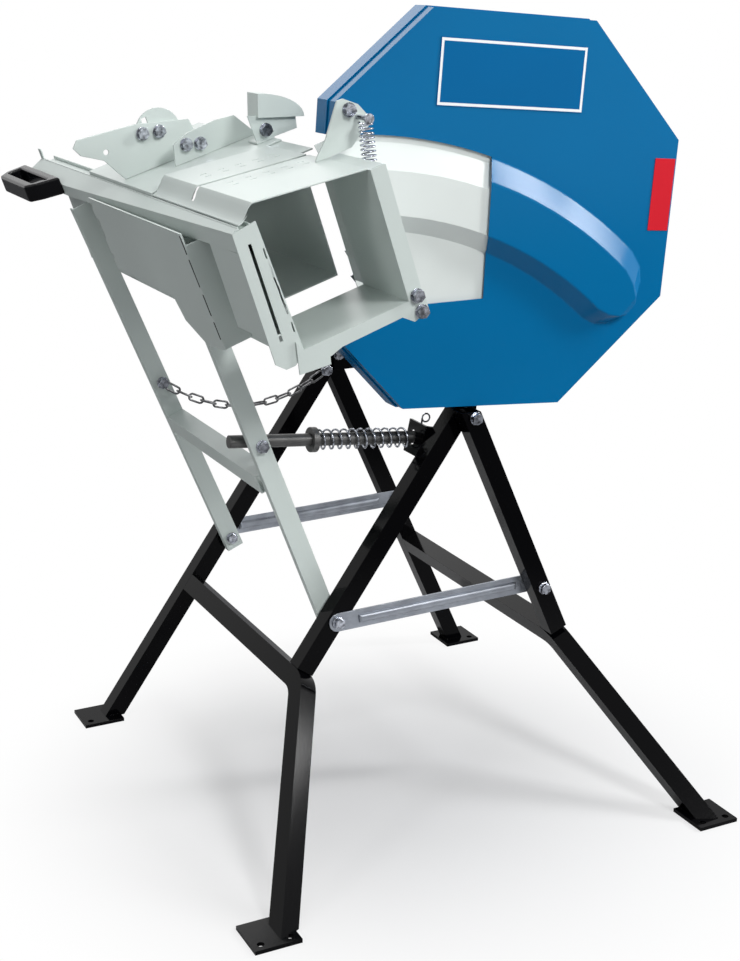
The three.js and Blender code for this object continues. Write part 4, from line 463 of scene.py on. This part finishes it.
bpy.ops.mesh.select_all(action="DESELECT")
bpy.ops.object.mode_set(mode="OBJECT")
for face in panel.data.polygons:
    face.select = face.normal.y < -straight_ahead
bpy.ops.object.mode_set(mode="EDIT")
bpy.ops.mesh.inset(thickness=line_inset, depth=0.0)
bpy.ops.mesh.inset(thickness=line_width, depth=0.0)
bpy.ops.object.mode_set(mode="OBJECT")
stands_for(panel, "guard_panel", film_blue, film_white)
front = [face for face in panel.data.polygons if face.normal.y < -straight_ahead]
field = max(front, key=lambda face: face.area)
for face in front:
    out = face.center - field.center
    past_edge = max(abs(out.dot(along_plate)) - panel_half_width, abs(out.dot(up_plate)) - panel_half_height)
    if face.index != field.index and past_edge < -line_inset:
        face.material_index = 1
label = merged_copy("guard_label")
label_low, label_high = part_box("guard_label")
label_middle = (label_low + label_high) / 2
for vertex in label.data.vertices:
    if (vertex.co - label_middle).dot(along_plate) < 0.0:
        vertex.co -= along_plate * label_reach
rounded(label, label_edge, steps=1)
stands_for(label, "guard_label", film_red)

# Blade and arbor: a toothed steel disc, held by a hexagon nut between a loose collar and the
# shaft's shoulder. All are bright steel, ground or turned.
blade_edge = 0.0003
bright_steel = plated("bright_steel", (0.40, 0.41, 0.43), 0.3, grain=(60.0, 1.0, 60.0), mottled=0.3)
for node_name in ["saw_blade", "outer_collar", "arbor_shaft", "arbor_nut"]:
    piece = merged_copy(node_name)
    rounded(piece, blade_edge)
    stands_for(piece, node_name, bright_steel)

# Rocker sheet metal: folded and laser cut plate in a pale grey green coat, on two channel legs. Cut
# edges are broken only a little and folds stay crisp. The side plate's slots beside its folds are opened here
# to 4 mm, and their walls are near black, partly bare cut edge and partly painted shade for the slots' dark
# depth. The moving guard has the glossiest coat.
folded_edge = 0.0006
slotted_edge = 0.0003
moving_channel_from_y = -0.176
same_place = 0.0001
slot_wall_facing = 0.8
fold_slots = [(-0.1989, -0.1965), (0.1339, 0.1315)]
grey_coat = paint("grey_green_coat", (0.560, 0.620, 0.595), 0.34, gloss_level=0.3, peel=0.05,
                  peel_scale=320.0, drift=0.03)
guard_coat = paint("grey_guard_coat", (0.66, 0.70, 0.68), 0.2, gloss_level=0.45, drift=0.03)
# Near-black finish for the slot walls: partly bare cut steel, partly painted shade standing in for the dark
# inside of the slots.
cut_edge_and_shade = paint("cut_edge_and_painted_shade", (0.02, 0.021, 0.021), 0.6, gloss_level=0.2, peel=0.1, drift=0.2)


def open_fold_slots(plate):
    for vertex in plate.data.vertices:
        for drawn, opened in fold_slots:
            if abs(vertex.co.y - drawn) < same_place:
                vertex.co.y = opened


# Gives the slot walls the near-black finish, which paints the shade inside the slots.
def darken_slot_walls(plate):
    for face in plate.data.polygons:
        in_slot = any(abs(face.center.y - opened) < 2 * same_place for drawn, opened in fold_slots)
        if in_slot and abs(face.normal.y) > slot_wall_facing:
            face.material_index = 1


for node_name in ["rocker_front_leg", "rocker_rear_leg", "rocker_cross_bar", "trough_left_wall",
                  "front_tray", "rear_tray", "front_plate", "side_plate", "top_rail", "moving_guard",
                  "rear_roof", "hold_down_arm", "half_moon_plate", "clamp_roof"]:
    slotted = node_name == "side_plate"
    piece = merged_copy(node_name, flats_joined=not slotted)
    if slotted:
        open_fold_slots(piece)
        rounded(piece, slotted_edge)
        stands_for(piece, node_name, grey_coat, cut_edge_and_shade)
        # The slot walls get painted shade here, on top of the bare cut edge.
        darken_slot_walls(piece)
    elif node_name == "moving_guard":
        press_softly(piece, moving_channel_from_y, channel_roll)
        rounded(piece, folded_edge)
        stands_for(piece, node_name, guard_coat)
    else:
        rounded(piece, folded_edge)
        stands_for(piece, node_name, grey_coat)

# Lever, stop plate and hood: the same grey sheet. Their screws, and the lever's pin for the spring,
# are zinc plated and stand proud of the sheet. Each row has a node, the places of its screws and
# pin, how far a washer reaches round them, and the sheet's front.
sheet_edge = 0.0005
stop_plate_thick = 0.003
for node_name, screws, washer_reach, sheet_front in [
    ("roof_lever", [(-0.12232, 0.90109), (-0.11166, 0.89288)], 0.0108, -0.2145),
    ("stop_plate", [(-0.22491, 0.84418), (-0.20627, 0.84499)], 0.0095, 0.0395),
    ("hood", [(-0.14135, 0.86356)], 0.0108, -0.0175),
]:
    piece = merged_copy(node_name)
    rounded(piece, sheet_edge)
    stands_for(piece, node_name, grey_coat, screw_zinc)
    for face in piece.data.polygons:
        near = min(math.hypot(face.center.x - x, face.center.z - z) for x, z in screws)
        proud = face.center.y < sheet_front - same_place
        if node_name == "stop_plate":
            proud = proud or face.center.y > sheet_front + stop_plate_thick + same_place
        if near < washer_reach and proud:
            face.material_index = 1

# Handle: a rigid moulded loop in black plastic, its edges well rounded for the hand. It sits on
# the outside of the rail's rear end.
handle_grain = 0.0011
handle_rounds = 30
handle_plastic = paint("handle_plastic", (0.003, 0.003, 0.004), 0.22, gloss_level=0.22, peel=0.05,
                       peel_scale=700.0)
handle = merged_copy("handle")
skin = handle.modifiers.new("skin", "REMESH")
skin.mode = "VOXEL"
skin.voxel_size = handle_grain
bpy.ops.object.modifier_apply(modifier=skin.name)
soften = handle.modifiers.new("soften", "SMOOTH")
soften.factor = 0.5
soften.iterations = handle_rounds
bpy.ops.object.modifier_apply(modifier=soften.name)
bpy.ops.object.shade_smooth()
stands_for(handle, "handle", handle_plastic)

# Return rod: a drawn steel bar that turns on a screw of the rocker's front leg. It carries a turned
# collar for the spring, and a wire clip at its tip.
rod_edge = 0.0003
rod_steel = plated("rod_steel", (0.13, 0.13, 0.128), 0.42, grain=(1.0, 40.0, 40.0), mottled=0.4)
for node_name, finish in [("return_rod", rod_steel), ("rod_collar", rod_steel), ("rod_clip", screw_zinc)]:
    piece = merged_copy(node_name)
    rounded(piece, rod_edge, angle=50.0, smooth=50.0)
    stands_for(piece, node_name, finish)

# Springs: round wire wound on a mandrel and zinc plated. The long open one lies round the rod and
# pushes the rocker back, the short close one pulls the roof's lever down to its hook.
wire_sides = 10
steps_per_turn = 28
weld_distance = 0.00001


def wound_spring(name, start, end, radius, wire, turns):
    way = Vector(end) - Vector(start)
    bpy.ops.object.select_all(action="DESELECT")
    bpy.ops.mesh.primitive_circle_add(vertices=wire_sides, radius=wire / 2, fill_type="NOTHING")
    spring = bpy.context.object
    spring.name = name
    bpy.ops.object.mode_set(mode="EDIT")
    bpy.ops.mesh.select_all(action="SELECT")
    bpy.ops.transform.rotate(value=math.pi / 2, orient_axis="X", center_override=(0.0, 0.0, 0.0))
    bpy.ops.transform.translate(value=(radius, 0.0, wire / 2))
    bpy.ops.object.mode_set(mode="OBJECT")
    winding = spring.modifiers.new("winding", "SCREW")
    winding.axis = "Z"
    winding.angle = 2 * math.pi
    winding.iterations = turns
    winding.screw_offset = (way.length - wire) / turns
    winding.steps = steps_per_turn
    winding.render_steps = steps_per_turn
    bpy.ops.object.modifier_apply(modifier=winding.name)
    bpy.ops.object.mode_set(mode="EDIT")
    bpy.ops.mesh.select_all(action="SELECT")
    bpy.ops.mesh.remove_doubles(threshold=weld_distance)
    bpy.ops.mesh.fill_holes(sides=wire_sides)
    bpy.ops.mesh.select_all(action="SELECT")
    bpy.ops.mesh.normals_make_consistent(inside=False)
    bpy.ops.object.mode_set(mode="OBJECT")
    spring.matrix_world = Matrix.Translation(Vector(start)) @ way.to_track_quat("Z", "Y").to_matrix().to_4x4()
    only(spring)
    bpy.ops.object.transform_apply(location=True, rotation=True, scale=True)
    bpy.ops.object.shade_smooth_by_angle(angle=math.radians(50.0))
    return spring


collar_end = (-0.11872, -0.1075, 0.48616)
bracket_end = (0.0135, -0.1075, 0.47267)
return_spring = wound_spring("return_spring_wound", collar_end, bracket_end, radius=0.0122, wire=0.0026,
                             turns=11)
stands_for(return_spring, "return_spring", screw_zinc)
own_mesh(return_spring)

hook_end = (-0.10909, -0.2405, 0.84355)
lever_end = (-0.11064, -0.2325, 0.88974)
clamp_spring = wound_spring("clamp_spring_wound", hook_end, lever_end, radius=0.008, wire=0.002, turns=9)
stands_for(clamp_spring, "clamp_spring", screw_zinc, bends=True)
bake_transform(clamp_spring)

# Limiting chain: welded round links, each turned a quarter against its neighbour, hanging from the
# rocker's rear leg to the stand's rear leg. A ring at each end holds it on its screw.
chain_rocker_end = Vector((-0.21615, 0.19115, 0.50463))
chain_stand_end = Vector((0.04355, 0.21015, 0.491))
chain_sag = 0.043
chain_steps = 400
link_wire = 0.003
link_width = 0.0125
link_count = 13
link_steps = 28
end_ring_radius = 0.0065
chain_steel = plated("chain_steel", (0.19, 0.19, 0.195), 0.3, grain=(1.0, 1.0, 1.0), mottled=1.9,
                     patch_scale=160.0)


def chain_point(share):
    drop = Vector((0.0, 0.0, -4 * chain_sag * share * (1 - share)))
    return chain_rocker_end.lerp(chain_stand_end, share) + drop


marks = [0.0]
for step in range(1, chain_steps + 1):
    stretch = chain_point(step / chain_steps) - chain_point((step - 1) / chain_steps)
    marks.append(marks[-1] + stretch.length)


def along_chain(distance):
    step = next(i for i, mark in enumerate(marks) if mark >= distance)
    return chain_point(step / chain_steps)


first = end_ring_radius + link_wire / 2
pitch = (marks[-1] - 2 * first) / link_count
bend_radius = (link_width - link_wire) / 2
straight = (pitch + link_wire) / 2 - bend_radius
bpy.ops.object.select_all(action="DESELECT")
bpy.ops.mesh.primitive_torus_add(major_radius=bend_radius, minor_radius=link_wire / 2,
                                 major_segments=link_steps, minor_segments=wire_sides)
pattern = bpy.context.object
for vertex in pattern.data.vertices:
    vertex.co.x += straight if vertex.co.x > 0 else -straight
links = []
for index in range(link_count):
    start = along_chain(first + index * pitch)
    end = along_chain(first + (index + 1) * pitch)
    link = pattern.copy()
    link.data = pattern.data.copy()
    bpy.context.collection.objects.link(link)
    turn = (end - start).to_track_quat("X", "Y").to_matrix().to_4x4()
    quarter = Matrix.Rotation(math.pi / 2 * (index % 2), 4, "X")
    link.matrix_world = Matrix.Translation((start + end) / 2) @ turn @ quarter
    links.append(link)
bpy.data.objects.remove(pattern)
for ring_place in [chain_rocker_end, chain_stand_end]:
    bpy.ops.mesh.primitive_torus_add(major_radius=end_ring_radius, minor_radius=link_wire / 2,
                                     major_segments=link_steps, minor_segments=wire_sides,
                                     location=ring_place, rotation=(math.pi / 2, 0.0, 0.0))
    links.append(bpy.context.object)
bpy.ops.object.select_all(action="DESELECT")
for link in links:
    link.select_set(True)
bpy.context.view_layer.objects.active = links[0]
bpy.ops.object.join()
chain = bpy.context.object
chain.name = "limit_chain_links"
bpy.ops.object.transform_apply(location=True, rotation=True, scale=True)
bpy.ops.object.shade_smooth()
stands_for(chain, "limit_chain", chain_steel, bends=True)
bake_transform(chain)
